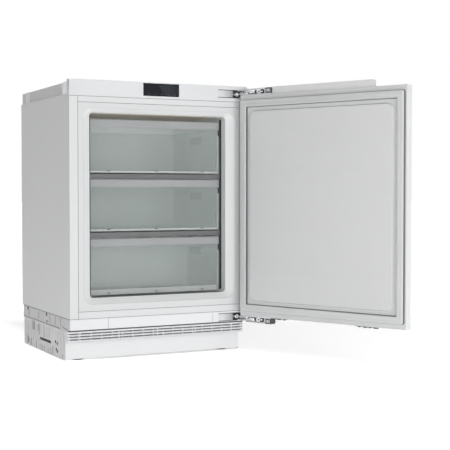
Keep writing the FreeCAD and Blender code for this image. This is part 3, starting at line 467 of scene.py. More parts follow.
usualPlastic = {"patch": 5.0, "drift": 0.35, "dust": 0.08, "dustScale": 70.0, "scuffScale": 40.0,
                "grain": 1500.0, "spread": 0.12, "depth": 0.00004, "gloss": 0.5}
usualEnamel = {"patch": 3.0, "drift": 0.3, "dust": 0.1, "dustScale": 60.0, "scuffScale": 25.0,
               "peel": 420.0, "spread": 0.1, "depth": 0.00006, "bump": 0.5, "coat": 0.15, "coatRough": 0.12}
usualMetal = {"stretch": (60.0, 900.0, 900.0), "drift": 0.5, "spread": 0.25, "patch": 45.0, "age": 0.3,
              "dust": 0.1, "depth": 0.00003, "bump": 0.6, "metal": 1.0}
usualLiner = {"patch": 2.5, "drift": 0.3, "dust": 0.05, "grain": 700.0, "spread": 0.08, "grainShare": 0.01,
              "waves": (5.0, 5.0, 5.0), "waveDepth": 0.3, "waveRough": 0.4, "depth": 0.002}
usualClear = {"patch": 8.0, "drift": 0.5, "grain": 300.0, "spread": 0.06, "scuffScale": 35.0, "scuff": 0.03,
              "depth": 0.00003, "bump": 0.4}


def moulded(name, look):
    # moulded plastic, foam or rubber
    look = {**usualPlastic, **look}
    material, tree, shader = newMaterial(name)
    grain = placeGrain(tree, look)
    linkLook(tree, shader, wornColor(tree, look), grain)
    addBump(tree, shader, grain.outputs["Height"], look["depth"])
    shader.inputs['Specular IOR Level'].default_value = look["gloss"]
    return material


def enamelled(name, look):
    # painted or enamelled sheet
    look = {**usualEnamel, **look}
    material, tree, shader = newMaterial(name)
    peel = placeGroup(tree, enamelPeel, Scale=look["peel"], Rough=look["rough"], Spread=look["spread"])
    linkLook(tree, shader, wornColor(tree, look), peel)
    addBump(tree, shader, peel.outputs["Height"], look["depth"], look["bump"])
    feed(tree, shader, {'Coat Weight': look["coat"], 'Coat Roughness': look["coatRough"]})
    return material


def metallic(name, look):
    # bare or plated metal
    look = {**usualMetal, **look}
    material, tree, shader = newMaterial(name)
    lines = placeGroup(tree, drawnLines, Color=rgba(look["color"]), Shade=rgba(look["shade"]),
                       Stretch=look["stretch"], Amount=look["drift"], Rough=look["rough"],
                       Spread=look["spread"])
    tone = placeGroup(tree, toneDrift, Color=lines.outputs["Color"], Shade=rgba(look["tarnish"]),
                      Scale=look["patch"], Amount=look["age"])
    dust = placeGroup(tree, dustFilm, Color=tone.outputs["Color"], Amount=look["dust"])
    linkLook(tree, shader, dust.outputs["Color"], lines)
    addBump(tree, shader, lines.outputs["Height"], look["depth"], look["bump"])
    shader.inputs['Metallic'].default_value = look["metal"]
    return material


paintLook = {"color": (0.845, 0.85, 0.858), "shade": (0.80, 0.805, 0.815), "rough": 0.42, "coat": 0.03}
cabinetPaint = enamelled("cabinetPaint", paintLook)
doorPaint = enamelled("doorPaint", {**paintLook, "peel": 380.0, "rough": 0.3, "scuff": 0.05,
                                    "scuffColor": (0.6, 0.6, 0.6)})
baseSheet = enamelled("baseSheet", {
    "color": (0.80, 0.80, 0.80), "shade": (0.66, 0.66, 0.665), "rough": 0.42, "patch": 16.0, "drift": 0.6,
    "scuff": 0.25, "scuffColor": (0.45, 0.45, 0.45)})
# darker sheet for the base creases: painted shade
creasePaintedShade = enamelled("creasePaintedShade", {
    "color": (0.50, 0.50, 0.505), "shade": (0.42, 0.42, 0.425), "rough": 0.45, "patch": 16.0, "drift": 0.6})
blackEnamel = enamelled("blackEnamel", {
    "color": (0.022, 0.022, 0.024), "shade": (0.05, 0.05, 0.05), "rough": 0.32, "peel": 600.0, "dust": 0.3,
    "coat": 0.3})
darkSteel = enamelled("darkSteel", {
    "color": (0.10, 0.10, 0.11), "shade": (0.16, 0.16, 0.17), "rough": 0.4, "peel": 700.0, "scuff": 0.35,
    "scuffColor": (0.4, 0.4, 0.41)})
coverPlastic = moulded("coverPlastic", {
    "color": (0.80, 0.80, 0.80), "shade": (0.72, 0.72, 0.725), "rough": 0.5, "patch": 9.0, "drift": 0.5,
    "dust": 0.15})
hoodPlastic = moulded("hoodPlastic", {
    "color": (0.62, 0.63, 0.64), "shade": (0.54, 0.55, 0.56), "rough": 0.5, "patch": 9.0, "drift": 0.5,
    "dust": 0.25})
fasciaPlastic = moulded("fasciaPlastic", {
    "color": (0.862, 0.872, 0.888), "shade": (0.83, 0.84, 0.855), "rough": 0.36, "drift": 0.3, "scuff": 0.04,
    "scuffColor": (0.6, 0.6, 0.62)})
basePlastic = moulded("basePlastic", {
    "color": (0.93, 0.94, 0.955), "shade": (0.90, 0.91, 0.925), "rough": 0.36, "drift": 0.3, "scuff": 0.06,
    "scuffColor": (0.6, 0.6, 0.62)})
housingPlastic = moulded("housingPlastic", {
    "color": (0.05, 0.05, 0.055), "shade": (0.085, 0.085, 0.09), "rough": 0.45, "patch": 30.0, "dust": 0.25})
# dark grey shelf trims; the dark tone is partly their own, partly painted shade over the shelf fronts
shelfTrimAndPaintedShade = moulded("shelfTrimAndPaintedShade", {
    "color": (0.175, 0.181, 0.183), "shade": (0.148, 0.153, 0.155), "rough": 0.38, "patch": 12.0})
grillePlastic = moulded("grillePlastic", {
    "color": (0.86, 0.866, 0.875), "shade": (0.80, 0.805, 0.815), "rough": 0.42, "dust": 0.2,
    "dustScale": 180.0})
plinthPlastic = moulded("plinthPlastic", {
    "color": (0.965, 0.97, 0.978), "shade": (0.945, 0.95, 0.96), "rough": 0.38, "scuff": 0.12,
    "scuffColor": (0.66, 0.66, 0.66), "scuffScale": 22.0})
handlePlastic = moulded("handlePlastic", {
    "color": (0.405, 0.418, 0.424), "shade": (0.36, 0.372, 0.378), "rough": 0.33, "patch": 8.0, "scuff": 0.1,
    "scuffColor": (0.52, 0.53, 0.53)})
footPlastic = moulded("footPlastic", {
    "color": (0.07, 0.07, 0.07), "shade": (0.12, 0.12, 0.12), "rough": 0.55, "patch": 60.0, "dust": 0.3})
rubberMount = moulded("rubberMount", {
    "color": (0.03, 0.03, 0.03), "shade": (0.06, 0.06, 0.06), "rough": 0.75, "grain": 900.0, "gloss": 0.3,
    "dust": 0.35})
gasketRubber = moulded("gasketRubber", {
    "color": (0.75, 0.758, 0.762), "shade": (0.70, 0.705, 0.71), "rough": 0.5, "grain": 1100.0, "patch": 14.0,
    "gloss": 0.4})
# dark grey for the gasket root: painted shade in the undercut below the crown
gasketRootPaintedShade = moulded("gasketRootPaintedShade", {
    "color": (0.25, 0.252, 0.255), "shade": (0.30, 0.30, 0.303), "rough": 0.7, "grain": 1100.0,
    "gloss": 0.25})
# dark fill for real seams and joints, and painted shade in the gap below the covers, the grille and the holes
seamsAndPaintedShade = moulded("seamsAndPaintedShade", {
    "color": (0.10, 0.10, 0.105), "shade": (0.16, 0.16, 0.165), "rough": 0.7, "patch": 30.0, "gloss": 0.2})
# near-black for the drawer stops, and painted shade for slot and gap marks beside the drawers
trimShade = moulded("trimShade", {
    "color": (0.045, 0.048, 0.05), "shade": (0.07, 0.073, 0.075), "rough": 0.5, "patch": 20.0, "gloss": 0.3})
# warm, light tint for the compartment's ceiling: painted warm bounce light
ceilingWarmPaintedLight = moulded("ceilingWarmPaintedLight", {
    "color": (0.90, 0.82, 0.72), "shade": (0.84, 0.765, 0.67), "rough": 0.5, "patch": 6.0, "dust": 0.0})
foamCells = moulded("foamCells", {
    "color": (0.83, 0.75, 0.52), "shade": (0.72, 0.62, 0.40), "rough": 0.9, "grain": 320.0, "depth": 0.0008,
    "gloss": 0.2})
zincSheet = metallic("zincSheet", {
    "color": (0.66, 0.67, 0.68), "shade": (0.55, 0.56, 0.57), "tarnish": (0.46, 0.47, 0.49), "rough": 0.42,
    "stretch": (90.0, 90.0, 12.0), "patch": 120.0, "age": 0.45})
aluminiumTube = metallic("aluminiumTube", {
    "color": (0.78, 0.79, 0.80), "shade": (0.66, 0.67, 0.68), "tarnish": (0.6, 0.6, 0.6), "rough": 0.35})
copperTube = metallic("copperTube", {
    "color": (0.72, 0.36, 0.22), "shade": (0.58, 0.27, 0.16), "tarnish": (0.28, 0.16, 0.11), "rough": 0.28,
    "patch": 30.0, "age": 0.5})
hingeSteel = metallic("hingeSteel", {
    "color": (0.70, 0.70, 0.71), "shade": (0.52, 0.52, 0.53), "tarnish": (0.40, 0.40, 0.41), "rough": 0.24})
hingeBright = metallic("hingeBright", {
    "color": (0.86, 0.86, 0.865), "shade": (0.74, 0.74, 0.75), "tarnish": (0.60, 0.60, 0.61), "rough": 0.22,
    "age": 0.2})
# black hinge parts, also used for painted shade lines and recesses
hingeDarkAndPaintedShade = metallic("hingeDarkAndPaintedShade", {
    "color": (0.018, 0.018, 0.02), "shade": (0.035, 0.035, 0.037), "tarnish": (0.06, 0.06, 0.06),
    "rough": 0.5, "metal": 0.2, "dust": 0.03})
barAluminium = metallic("barAluminium", {
    "color": (0.77, 0.77, 0.775), "shade": (0.71, 0.71, 0.715), "tarnish": (0.70, 0.70, 0.70), "rough": 0.45,
    "age": 0.2, "metal": 0.35})


def makeLinerPlastic(name, look):
    # thermoformed liner: glossy, with the slow waves that forming leaves
    look = {**usualLiner, **look}
    material, tree, shader = newMaterial(name)
    tone = placeDrift(tree, look)
    color = tone.outputs["Color"]
    if "rim" in look:
        # the part in front has a colour of its own
        share = addRange(tree, splitPlace(tree)['Y'], *look["rimSpan"])
        color = addMix(tree, share, rgba(look["rim"]), color)
    dust = placeGroup(tree, dustFilm, Color=color, Amount=look["dust"])
    grain = placeGrain(tree, look)
    stretched = tree.nodes.new('ShaderNodeMapping')
    stretched.inputs['Scale'].default_value = look["waves"]
    tree.links.new(objectPlace(tree), stretched.inputs['Vector'])
    waves = addNoise(tree, stretched.outputs[0], 1.0, 1.0, look["waveRough"])
    height = addMath(tree, 'ADD', addMath(tree, 'MULTIPLY', waves, look["waveDepth"]),
                     addMath(tree, 'MULTIPLY', grain.outputs["Height"], look["grainShare"]))
    addBump(tree, shader, height, look["depth"])
    linkLook(tree, shader, dust.outputs["Color"], grain)
    return material


# the flange at the front is darker than the room inside; the room's lighter tone is painted light
linerPlastic = makeLinerPlastic("linerPlastic", {
    "color": (0.905, 0.915, 0.915), "shade": (0.875, 0.885, 0.885), "rim": (0.80, 0.81, 0.815),
    "rimSpan": (0.001, 0.003), "rough": 0.3})
doorLinerPlastic = makeLinerPlastic("doorLinerPlastic", {
    "color": (0.79, 0.792, 0.798), "shade": (0.76, 0.762, 0.77), "rough": 0.3, "waves": (1.5, 1.5, 22.0),
    "waveDepth": 1.0})
# painted shadow: the floor darkens towards the gap below the lowest drawer
floorPaintedShadow = makeLinerPlastic("floorPaintedShadow", {
    "color": (0.010, 0.010, 0.011), "shade": (0.013, 0.013, 0.014), "rim": (0.62, 0.63, 0.63),
    "rimSpan": (0.017, 0.043), "rough": 0.45})


def makeClearPlastic(name, look):
    # clear polystyrene, a little grey-green, cloudier in patches
    look = {**usualClear, **look}
    material, tree, shader = newMaterial(name)
    tone = placeDrift(tree, look)
    grain = placeGrain(tree, look)
    scuff = placeGroup(tree, handlingScuffs, Scale=look["scuffScale"], Amount=look["scuff"])
    alpha = addMath(tree, 'ADD', addMath(tree, 'ADD', look["alpha"], scuff.outputs["Mask"]),
                    addMath(tree, 'MULTIPLY', tone.outputs["Mask"], look["cloud"]), True)
    linkLook(tree, shader, tone.outputs["Color"], grain)
    tree.links.new(alpha, shader.inputs['Alpha'])
    addBump(tree, shader, grain.outputs["Height"], look["depth"], look["bump"])
    return material


clearPlastic = makeClearPlastic("clearPlastic", {
    "color": (0.76, 0.85, 0.82), "shade": (0.70, 0.79, 0.76), "rough": 0.14, "alpha": 0.195, "cloud": 0.03,
    "scuff": 0.008})
clearRib = makeClearPlastic("clearRib", {
    "color": (0.80, 0.84, 0.83), "shade": (0.74, 0.79, 0.78), "rough": 0.12, "alpha": 0.55, "cloud": 0.1})
# pale frosted plastic for the bin floors and skirts, partly painted light on them
frostedPlasticAndPaintedLight = makeClearPlastic("frostedPlasticAndPaintedLight", {
    "color": (0.90, 0.925, 0.915), "shade": (0.86, 0.89, 0.88), "rough": 0.42, "alpha": 0.4, "cloud": 0.08})
# dark plates for the grip hollows: painted shade seen through the openings
gripPaintedShade = makeClearPlastic("gripPaintedShade", {
    "color": (0.26, 0.29, 0.285), "shade": (0.21, 0.24, 0.235), "rough": 0.3, "alpha": 0.62, "cloud": 0.1})
shelfGlass = makeClearPlastic("shelfGlass", {
    "color": (0.56, 0.66, 0.63), "shade": (0.50, 0.60, 0.57), "rough": 0.05, "alpha": 0.32, "cloud": 0.02,
    "scuff": 0.02})

displayLook = {"color": (0.010, 0.011, 0.017), "pane": (0.030, 0.034, 0.042), "edge": (0.004, 0.004, 0.007),
               "slant": 0.70, "place": 0.5835, "soft": 0.0012, "border": 0.0035, "borderSoft": 0.7,
               "fadeWide": 0.03, "fadeTo": 0.4, "gloss": 0.2, "grain": 90.0, "rough": 0.16, "spread": 0.08}


def makeDisplayGlass(look):
    # black glass over the touch field, with a painted reflection: one lighter pane across a slanting line,
    # fading towards one side
    material, tree, shader = newMaterial("displayGlass")
    low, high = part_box("display_glass")
    place = splitPlace(tree)
    across = addMath(tree, 'ADD', place['X'], addMath(tree, 'MULTIPLY', place['Z'], look["slant"]))
    pane = addRange(tree, across, look["place"] - look["soft"], look["place"] + look["soft"])
    fade = addRange(tree, place['X'], high.x - look["fadeWide"], high.x, 1.0, look["fadeTo"])
    color = addMix(tree, addMath(tree, 'MULTIPLY', pane, fade), rgba(look["color"]), rgba(look["pane"]))
    wide = look["border"]
    narrow = wide * look["borderSoft"]
    rim = 0.0
    for axis, lo, hi in (('X', low.x, high.x), ('Z', low.z, high.z)):
        for start, end in ((lo + wide, lo + narrow), (hi - wide, hi - narrow)):
            rim = addMath(tree, 'MAXIMUM', rim, addRange(tree, place[axis], start, end))
    color = addMix(tree, rim, color, rgba(look["edge"]))
    smear = placeGrain(tree, look)
    linkLook(tree, shader, color, smear)
    shader.inputs['Specular IOR Level'].default_value = look["gloss"]
    return material


touchLook = {"color": (0.30, 0.32, 0.36), "shade": (0.22, 0.24, 0.28), "patch": 400.0, "drift": 0.5,
             "glow": 0.12, "rough": 0.4}


def makeTouchMark(look):
    # pale printed marks behind the glass, with a faint painted glow
    material, tree, shader = newMaterial("touchMark")
    tone = placeDrift(tree, look)
    feed(tree, shader, {'Base Color': tone.outputs["Color"], 'Emission Color': tone.outputs["Color"],
                        'Emission Strength': look["glow"], 'Roughness': look["rough"]})
    return material


plateLook = {"color": (0.84, 0.85, 0.86), "dark": (0.40, 0.41, 0.42), "from": 0.212, "to": 0.250,
             "patch": 40.0, "drift": 0.1, "grain": 1200.0, "rough": 0.35, "spread": 0.1, "depth": 0.00003}


def makeSlotPlate(look):
    # pressed plate with painted shade that darkens it towards the hinge
    material, tree, shader = newMaterial("slotPlate")
    share = addRange(tree, splitPlace(tree)['X'], look["from"], look["to"])
    color = addMix(tree, share, rgba(look["color"]), rgba(look["dark"]))
    tone = placeGroup(tree, toneDrift, Color=color, Shade=rgba(look["dark"]), Scale=look["patch"],
                      Amount=look["drift"])
    grain = placeGrain(tree, look)
    linkLook(tree, shader, tone.outputs["Color"], grain)
    addBump(tree, shader, grain.outputs["Height"], look["depth"])
    return material


displayGlass = makeDisplayGlass(displayLook)
touchMark = makeTouchMark(touchLook)
slotPlate = makeSlotPlate(plateLook)
print("finishes made")


# every CAD node gets its finish, and rounded edges of this size where it is thick enough
nodeFinish = (
    (cabinetPaint, 0.3, "left_side_panel right_side_panel"),
    (cabinetPaint, 0.25, "upper_cross_rail lower_cross_rail"),
    (zincSheet, 0, "back_panel"),
    (zincSheet, 0.3, "worktop_brackets"),
    (linerPlastic, 0, "inner_liner"),
    (aluminiumTube, 0, "evaporator_coil"),
    (foamCells, 0, "cabinet_foam door_foam"),
    (coverPlastic, 0.5, "top_cover"),
    (coverPlastic, 1.0, "base_carrier"),
    (fasciaPlastic, 0.6, "rear_clips"),
    (fasciaPlastic, 0.9, "control_fascia"),
    (displayGlass, 0.3, "display_glass"),
    (housingPlastic, 0, "control_board hinge_caps"),
    (housingPlastic, 0.3, "fan_rotor"),
    (housingPlastic, 0.8, "fan_bracket mains_inlet"),
    (shelfGlass, 0.8, "upper_shelf lower_shelf"),
    (shelfTrimAndPaintedShade, 0.8, "upper_shelf_trim lower_shelf_trim"),
    (baseSheet, 0.3, "base_pan"),
    (basePlastic, 0.5, "left_base_cover middle_base_cover right_base_cover"),
    (grillePlastic, 0.5, "ventilation_grille"),
    (plinthPlastic, 0.9, "plinth_panel"),
    (blackEnamel, 0, "condenser"),
    (blackEnamel, 0.8, "compressor"),
    (rubberMount, 1.5, "compressor_mounts"),
    (copperTube, 0, "discharge_line suction_line liquid_line"),
    (hingeSteel, 0, "hinge_screws door_hinge_screws"),
    (hingeSteel, 0.4, "hinge_pins upper_hinge_link lower_hinge_link upper_door_hinge lower_door_hinge"),
    (hingeSteel, 0.5, "upper_hinge_arm lower_hinge_arm"),
    (footPlastic, 0.6, "foot_front_left foot_front_right foot_rear_left foot_rear_right"),
    (doorPaint, 0.3, "door_outer_panel"),
    (doorLinerPlastic, 0, "door_liner"),
    (gasketRubber, 0, "door_gasket"),
    (barAluminium, 0.6, "panel_mounting_bar"),
    (darkSteel, 0.5, "panel_brackets"),
    (clearPlastic, 0.8, "top_drawer_bin middle_drawer_bin bottom_drawer_bin"),
    (handlePlastic, 1.2, "top_drawer_handle middle_drawer_handle bottom_drawer_handle"),
)
bare = set(nodes)
for material, edge, names in nodeFinish:
    for name in names.split():
        shown = nodes[name]
        if not shown.material_slots:
            shown.data.materials.append(material)
        for place in shown.material_slots:
            place.material = material
        if edge:
            softenEdges(shown, edge, True)
        bare.remove(name)
print("CAD nodes finished:", len(nodes) - len(bare), "without a finish:", sorted(bare))


# door gasket: crown and root swept round the door; the dark root paints the shade below the crown
gasketLook = {"half": 293.3, "low": 137.0, "high": 808.0, "base": -11.0, "corner": 6.0, "steps": 4,
              "crown": ((6.5, 5.6), (1.6, 7.0), (0.5, 7.5), (0.0, 8.4), (0.3, 9.5), (1.6, 10.4), (9.4, 10.4),
                        (10.4, 9.9), (11.4, 10.4), (19.6, 10.4), (21.0, 9.5), (21.4, 8.0), (21.3, 5.6),
                        (20.4, 4.6), (18.0, 4.0)),
              "root": ((-1.4, 0.05), (-1.4, 1.0), (5.2, 1.2), (7.4, 2.6), (6.2, 4.0), (7.6, 5.9), (15.0, 5.9),
                       (18.4, 4.3), (17.2, 2.6), (19.0, 1.2), (23.4, 0.8), (23.4, 0.05))}


def sweepFrame(look, profile):
    bm = bmesh.new()
    half, low, high, corner, steps = (look[k] for k in ("half", "low", "high", "corner", "steps"))
    rings = []
    for sx, sz, start in ((1, -1, -90), (1, 1, 0), (-1, 1, 90), (-1, -1, 180)):
        for k in range(steps + 1):
            t = math.radians(start + 90 * k / steps)
            ring = []
            for u, v in profile:
                radius, inset = max(corner - u, 0.0), max(u, corner)
                x = sx * (half - inset) + radius * math.cos(t)
                z = (high - inset if sz > 0 else low + inset) + radius * math.sin(t)
                ring.append(bm.verts.new((x, look["base"] + v, z)))
            rings.append(ring)
    rings.append(rings[0])
    joinRings(bm, rings, False)
    return bm


putPiece("doorGasket", sweepFrame(gasketLook, gasketLook["crown"]), gasketRubber, "door",
         stands=("door_gasket",), turn=doorOpen, smooth=50)
putPiece("gasketRoot", sweepFrame(gasketLook, gasketLook["root"]), gasketRootPaintedShade, "door",
         turn=doorOpen, smooth=40)
print("gasket swept")


# grille: blades and their stays behind the slots; a dark mat behind them and dark strips over the bridges are
# painted shade
bladeLook = {"end": 5.0, "front": 31.1, "deep": 5.0, "rise": 1.3, "thick": 1.1, "rows": 3, "pitch": 8.6,
             "slot": 4.0, "stays": 5, "stayPitch": 130.0, "stayHalf": 1.5, "stayDeep": 3.0, "stayInset": 2.0}
bridgeShadeLook = {"mat": 39.0, "matThick": 2.0, "matEnd": 6.0, "matInset": 1.0, "columns": 17, "margin": 8.0,
              "bridgeHalf": 1.5, "plain": 3, "end": 0.8, "low": 0.2, "high": 1.9, "proud": 0.15, "deep": 0.3}


def makeGrille(blade, stripShade):
    low, high = nodeBox("ventilation_grille")
    margin = (high.z - low.z - (blade["rows"] - 1) * blade["pitch"]) / 2
    levels = [low.z + margin + row * blade["pitch"] for row in range(blade["rows"])]
    y0, y1 = blade["front"], blade["front"] + blade["deep"]
    bm = bmesh.new()
    for level in levels:
        z, rise, thick = level - blade["slot"] / 2, blade["rise"], blade["thick"]
        section = [(y0, z - thick), (y1, z + rise - thick), (y1, z + rise), (y0, z)]
        addPrism(bm, section, 'X', low.x + blade["end"], high.x - blade["end"])
    for i in range(blade["stays"]):
        x = (low.x + high.x) / 2 + (i - (blade["stays"] - 1) / 2) * blade["stayPitch"]
        addBox(bm, x - blade["stayHalf"], x + blade["stayHalf"], y0, y1 + blade["stayDeep"],
               low.z + blade["stayInset"], high.z - blade["stayInset"])
    putPiece("grilleBlades", bm, grillePlastic, "cabinet", bevel=0.2)

    # the painted shade strips lie over the bridges, but for every third one, and at both ends
    bm = bmesh.new()
    addBox(bm, low.x + stripShade["matEnd"], high.x - stripShade["matEnd"], stripShade["mat"],
           stripShade["mat"] + stripShade["matThick"], low.z + stripShade["matInset"], high.z - stripShade["matInset"])
    half, x0, x1 = stripShade["bridgeHalf"], low.x + stripShade["margin"], high.x - stripShade["margin"]
    step = (x1 - x0) / stripShade["columns"]
    for row, level in enumerate(levels):
        bridges = [x0 + step * c for c in range(1, stripShade["columns"]) if (c + row) % stripShade["plain"]]
        spans = [(x - half, x + half) for x in bridges]
        spans += [(low.x + stripShade["end"], x0 + half), (x1 - half, high.x - stripShade["end"])]
        for start, end in spans:
            addBox(bm, start, end, low.y - stripShade["proud"], low.y + stripShade["deep"],
                   level + stripShade["low"], level + stripShade["high"])
    putPiece("grillePaintedShade", bm, seamsAndPaintedShade, "cabinet")


makeGrille(bladeLook, bridgeShadeLook)


# dark joints between the front panels, and painted shadow in the gap below the base covers
seamLook = {"wide": 1.1, "deep": 0.5, "proud": 0.12, "upright": 271.85, "uprightSpan": (134.5, 804.8),
            "levels": ((271.0, 155.5), (271.0, 786.9), (298.0, 133.9), (298.0, 804.95)),
            "covers": (-177.0, 177.0), "coverShare": 0.7, "coverFace": (0.1, 0.6),
            "coverSpan": (101.0, 133.5), "gapHalf": 296.5, "gapFace": (23.6, 24.1), "gapSpan": (93.3, 97.5)}


def makeSeams(look):
    bm = bmesh.new()
    w, face = look["wide"] / 2, (-look["proud"], look["deep"])
    addPair(bm, look["upright"] - w, look["upright"] + w, *face, *look["uprightSpan"])
    for half, z in look["levels"]:
        addBox(bm, -half, half, *face, z - w, z + w)
    w *= look["coverShare"]
    for x in look["covers"]:
        addBox(bm, x - w, x + w, *look["coverFace"], *look["coverSpan"])
    addBox(bm, -look["gapHalf"], look["gapHalf"], *look["gapFace"], *look["gapSpan"])
    putPiece("frontSeams", bm, seamsAndPaintedShade, "cabinet")


makeSeams(seamLook)
print("grille blades and seams built")


# drawers: rim lips, edge beads, stops, painted shade in slots by the handles and in the grip hollows, frosted
# floors with painted light
drawerLook = {"skid": 3.0, "wall": 2.5, "sink": 0.2, "halfTop": 222.0, "halfLow": 215.0, "handleHigh": 25.0,
              "rimDrop": 25.3, "lip": 4.2, "lipHigh": 2.0, "lipLow": 0.6, "lipIn": 1.6, "lipFront": 58.0,
              "rearHalf": 220.3, "rearIn": 2.6, "rearOut": 1.2,
              "bead": 2.2, "beadHalf": 225.0, "beadProud": 0.9, "beadLow": 0.6, "upright": 218.2,
              "uprightGap": 0.5}
stopLook = {"places": (-155.0, 5.0, 165.0), "half": 4.5, "taper": 1.5, "low": 4.4, "high": 7.4, "proud": 1.2,
            "hook": (221.0, 225.2), "slotShadeProud": 2.0, "slotShadeDrop": 44.0, "slotShadeGap": 0.6}
gripLook = {"from": 180.0, "to": 268.0, "rearGap": 20.0, "low": 40.0, "high": 17.0, "inner": 0.15,
            "outer": 1.3}
matLook = {"half": {"top": 200.0, "middle": 200.0, "bottom": 184.0}, "high": 0.5, "sink": 0.1, "front": 3.0,
           "rear": 10.0, "rib": 0.9, "ribPitch": 22.0, "ribFoot": 1.6, "ribTop": 0.8, "ribEnd": 6.0,
           "skirtHalf": 217.6, "skirtProud": 0.6, "skirtLow": 2.9,
           "skirtHigh": {"top": 6.6, "middle": 6.6, "bottom": 17.0}}


def makeDrawer(tag, look, stop, grip, mat):
    body = tag + "_drawer"
    low, high = nodeBox(body + "_bin")
    top = nodeBox(body + "_handle")[1].z
    floor, front, rear = low.z + look["skid"], low.y, high.y
    rim = top - look["rimDrop"]

    bm = bmesh.new()
    z0, z1 = rim - look["lipLow"], rim + look["lipHigh"]
    inner = look["halfTop"] - look["lipIn"]
    addPair(bm, inner, inner + look["lip"], look["lipFront"], rear, z0, z1)
    addBox(bm, -look["rearHalf"], look["rearHalf"], rear - look["rearIn"], rear + look["rearOut"], z0, z1)
    y0, y1 = front - look["beadProud"], front + look["sink"]
    z0, z1 = floor + look["beadLow"], floor + look["beadLow"] + look["bead"]
    addBox(bm, -look["beadHalf"], look["beadHalf"], y0, y1, z0, z1)
    addPair(bm, look["upright"], look["upright"] + look["bead"], y0, y1, floor + look["bead"],
            top - look["handleHigh"] - look["uprightGap"])
    putPiece(tag + "DrawerRim", bm, clearRib, body, bevel=0.5)

    # stops under the front, and dark marks by the handles that paint the shade of a slot
    bm = bmesh.new()
    z0, z1 = floor + stop["low"], floor + stop["high"]
    foot, tip = stop["half"], stop["half"] - stop["taper"]
    for x in stop["places"]:
        outline = [(x - foot, z0), (x + foot, z0), (x + tip, z1), (x - tip, z1)]
        addPrism(bm, outline, 'Y', front - stop["proud"], front)
    addPair(bm, *stop["hook"], front - stop["slotShadeProud"], front - look["sink"], top - stop["slotShadeDrop"],
            top - look["handleHigh"] - stop["slotShadeGap"])
    putPiece(tag + "DrawerStopsAndSlotShade", bm, trimShade, body, bevel=0.3)

    # the hollows follow the slope of the side walls; their dark plates are painted shade seen through the
    # grips
    bm = bmesh.new()
    slope = (look["halfTop"] - look["halfLow"]) / (rim - floor)
    z0, z1 = rim - grip["low"], rim - grip["high"]
    x0, x1 = (look["halfLow"] + slope * (z - floor) for z in (z0, z1))
    for side in (-1, 1):
        outline = [(side * (x0 + grip["inner"]), z0), (side * (x0 + grip["outer"]), z0),
                   (side * (x1 + grip["outer"]), z1), (side * (x1 + grip["inner"]), z1)]
        addPrism(bm, outline, 'Y', grip["from"], min(grip["to"], rear - grip["rearGap"]))
    putPiece(tag + "DrawerGrips", bm, gripPaintedShade, body, bevel=0.4)

    # the floor inside is frosted and ribbed from front to back, with a skirt at the front; its pale tone is
    # partly painted light
    bm = bmesh.new()
    half, base = mat["half"][tag], floor + look["wall"] - mat["sink"]
    y0, y1, z1 = front + look["wall"] + mat["front"], rear - look["wall"] - mat["rear"], base + mat["high"]
    addBox(bm, -half, half, y0, y1, base, z1)
    count = int(half // mat["ribPitch"])
    for k in range(-count, count + 1):
        x = k * mat["ribPitch"]
        outline = [(x - mat["ribFoot"], z1 - mat["sink"]), (x + mat["ribFoot"], z1 - mat["sink"]),
                   (x + mat["ribTop"], z1 + mat["rib"]), (x - mat["ribTop"], z1 + mat["rib"])]
        addPrism(bm, outline, 'Y', y0 + mat["ribEnd"], y1 - mat["ribEnd"])
    addBox(bm, -mat["skirtHalf"], mat["skirtHalf"], front - mat["skirtProud"], front + look["sink"],
           floor + mat["skirtLow"], floor + mat["skirtHigh"][tag])
    putPiece(tag + "DrawerFloor", bm, frostedPlasticAndPaintedLight, body)


for tag in ("top", "middle", "bottom"):
    makeDrawer(tag, drawerLook, stopLook, gripLook, matLook)


# ends of the shelf trims, over the front of the shelf rails
trimLook = {"inner": 221.8, "outer": 229.3, "front": 53.9, "rear": 55.2, "inset": 0.2}
bm = bmesh.new()
for name in ("upper_shelf_trim", "lower_shelf_trim"):
    low, high = nodeBox(name)
    addPair(bm, trimLook["inner"], trimLook["outer"], trimLook["front"], trimLook["rear"],
            low.z + trimLook["inset"], high.z - trimLook["inset"])
putPiece("trimEnds", bm, shelfTrimAndPaintedShade, "cabinet", bevel=0.3)

# dark strips on the liner's walls beside the drawer fronts: painted shade in the gaps
drawerGapShadeLook = {"left": (-229.9, -226.7, 18.0, 34.0), "right": (228.6, 229.9, 46.0, 57.5), "bridgeRear": 54.7,
             "bays": ((201.0, 377.0), (393.0, 558.0), (574.5, 751.0))}
bm = bmesh.new()
for side in ("left", "right"):
    for z0, z1 in drawerGapShadeLook["bays"]:
        addBox(bm, *drawerGapShadeLook[side], z0, z1)
x0, x1, y0, y1 = drawerGapShadeLook["right"]
for below, above in zip(drawerGapShadeLook["bays"], drawerGapShadeLook["bays"][1:]):
    addBox(bm, x0, x1, y0, drawerGapShadeLook["bridgeRear"], below[1], above[0])
putPiece("drawerGapShade", bm, trimShade, "cabinet")

# strip of painted shadow on the liner's floor, below the front of the lowest drawer
stripLook = {"half": 221.0, "front": 18.0, "rear": 54.0, "floor": 194.5, "sink": 0.3, "proud": 0.12}
bm = bmesh.new()
addBox(bm, -stripLook["half"], stripLook["half"], stripLook["front"], stripLook["rear"],
       stripLook["floor"] - stripLook["sink"], stripLook["floor"] + stripLook["proud"])
putPiece("floorStrip", bm, floorPaintedShadow, "cabinet")
print("drawers dressed")


# touch marks on the display
dotLook = {"places": (-41.8, -19.8, 1.8, 25.1, 44.4), "height": 818.7,
           "profile": ((0.95, 0.5), (0.95, 0.42), (0.665, 0.36))}
bm = bmesh.new()
for x in dotLook["places"]:
    addLathe(bm, (x, 0, dotLook["height"]), 'Y', dotLook["profile"], segments=16)
putPiece("touchDots", bm, touchMark, "cabinet")


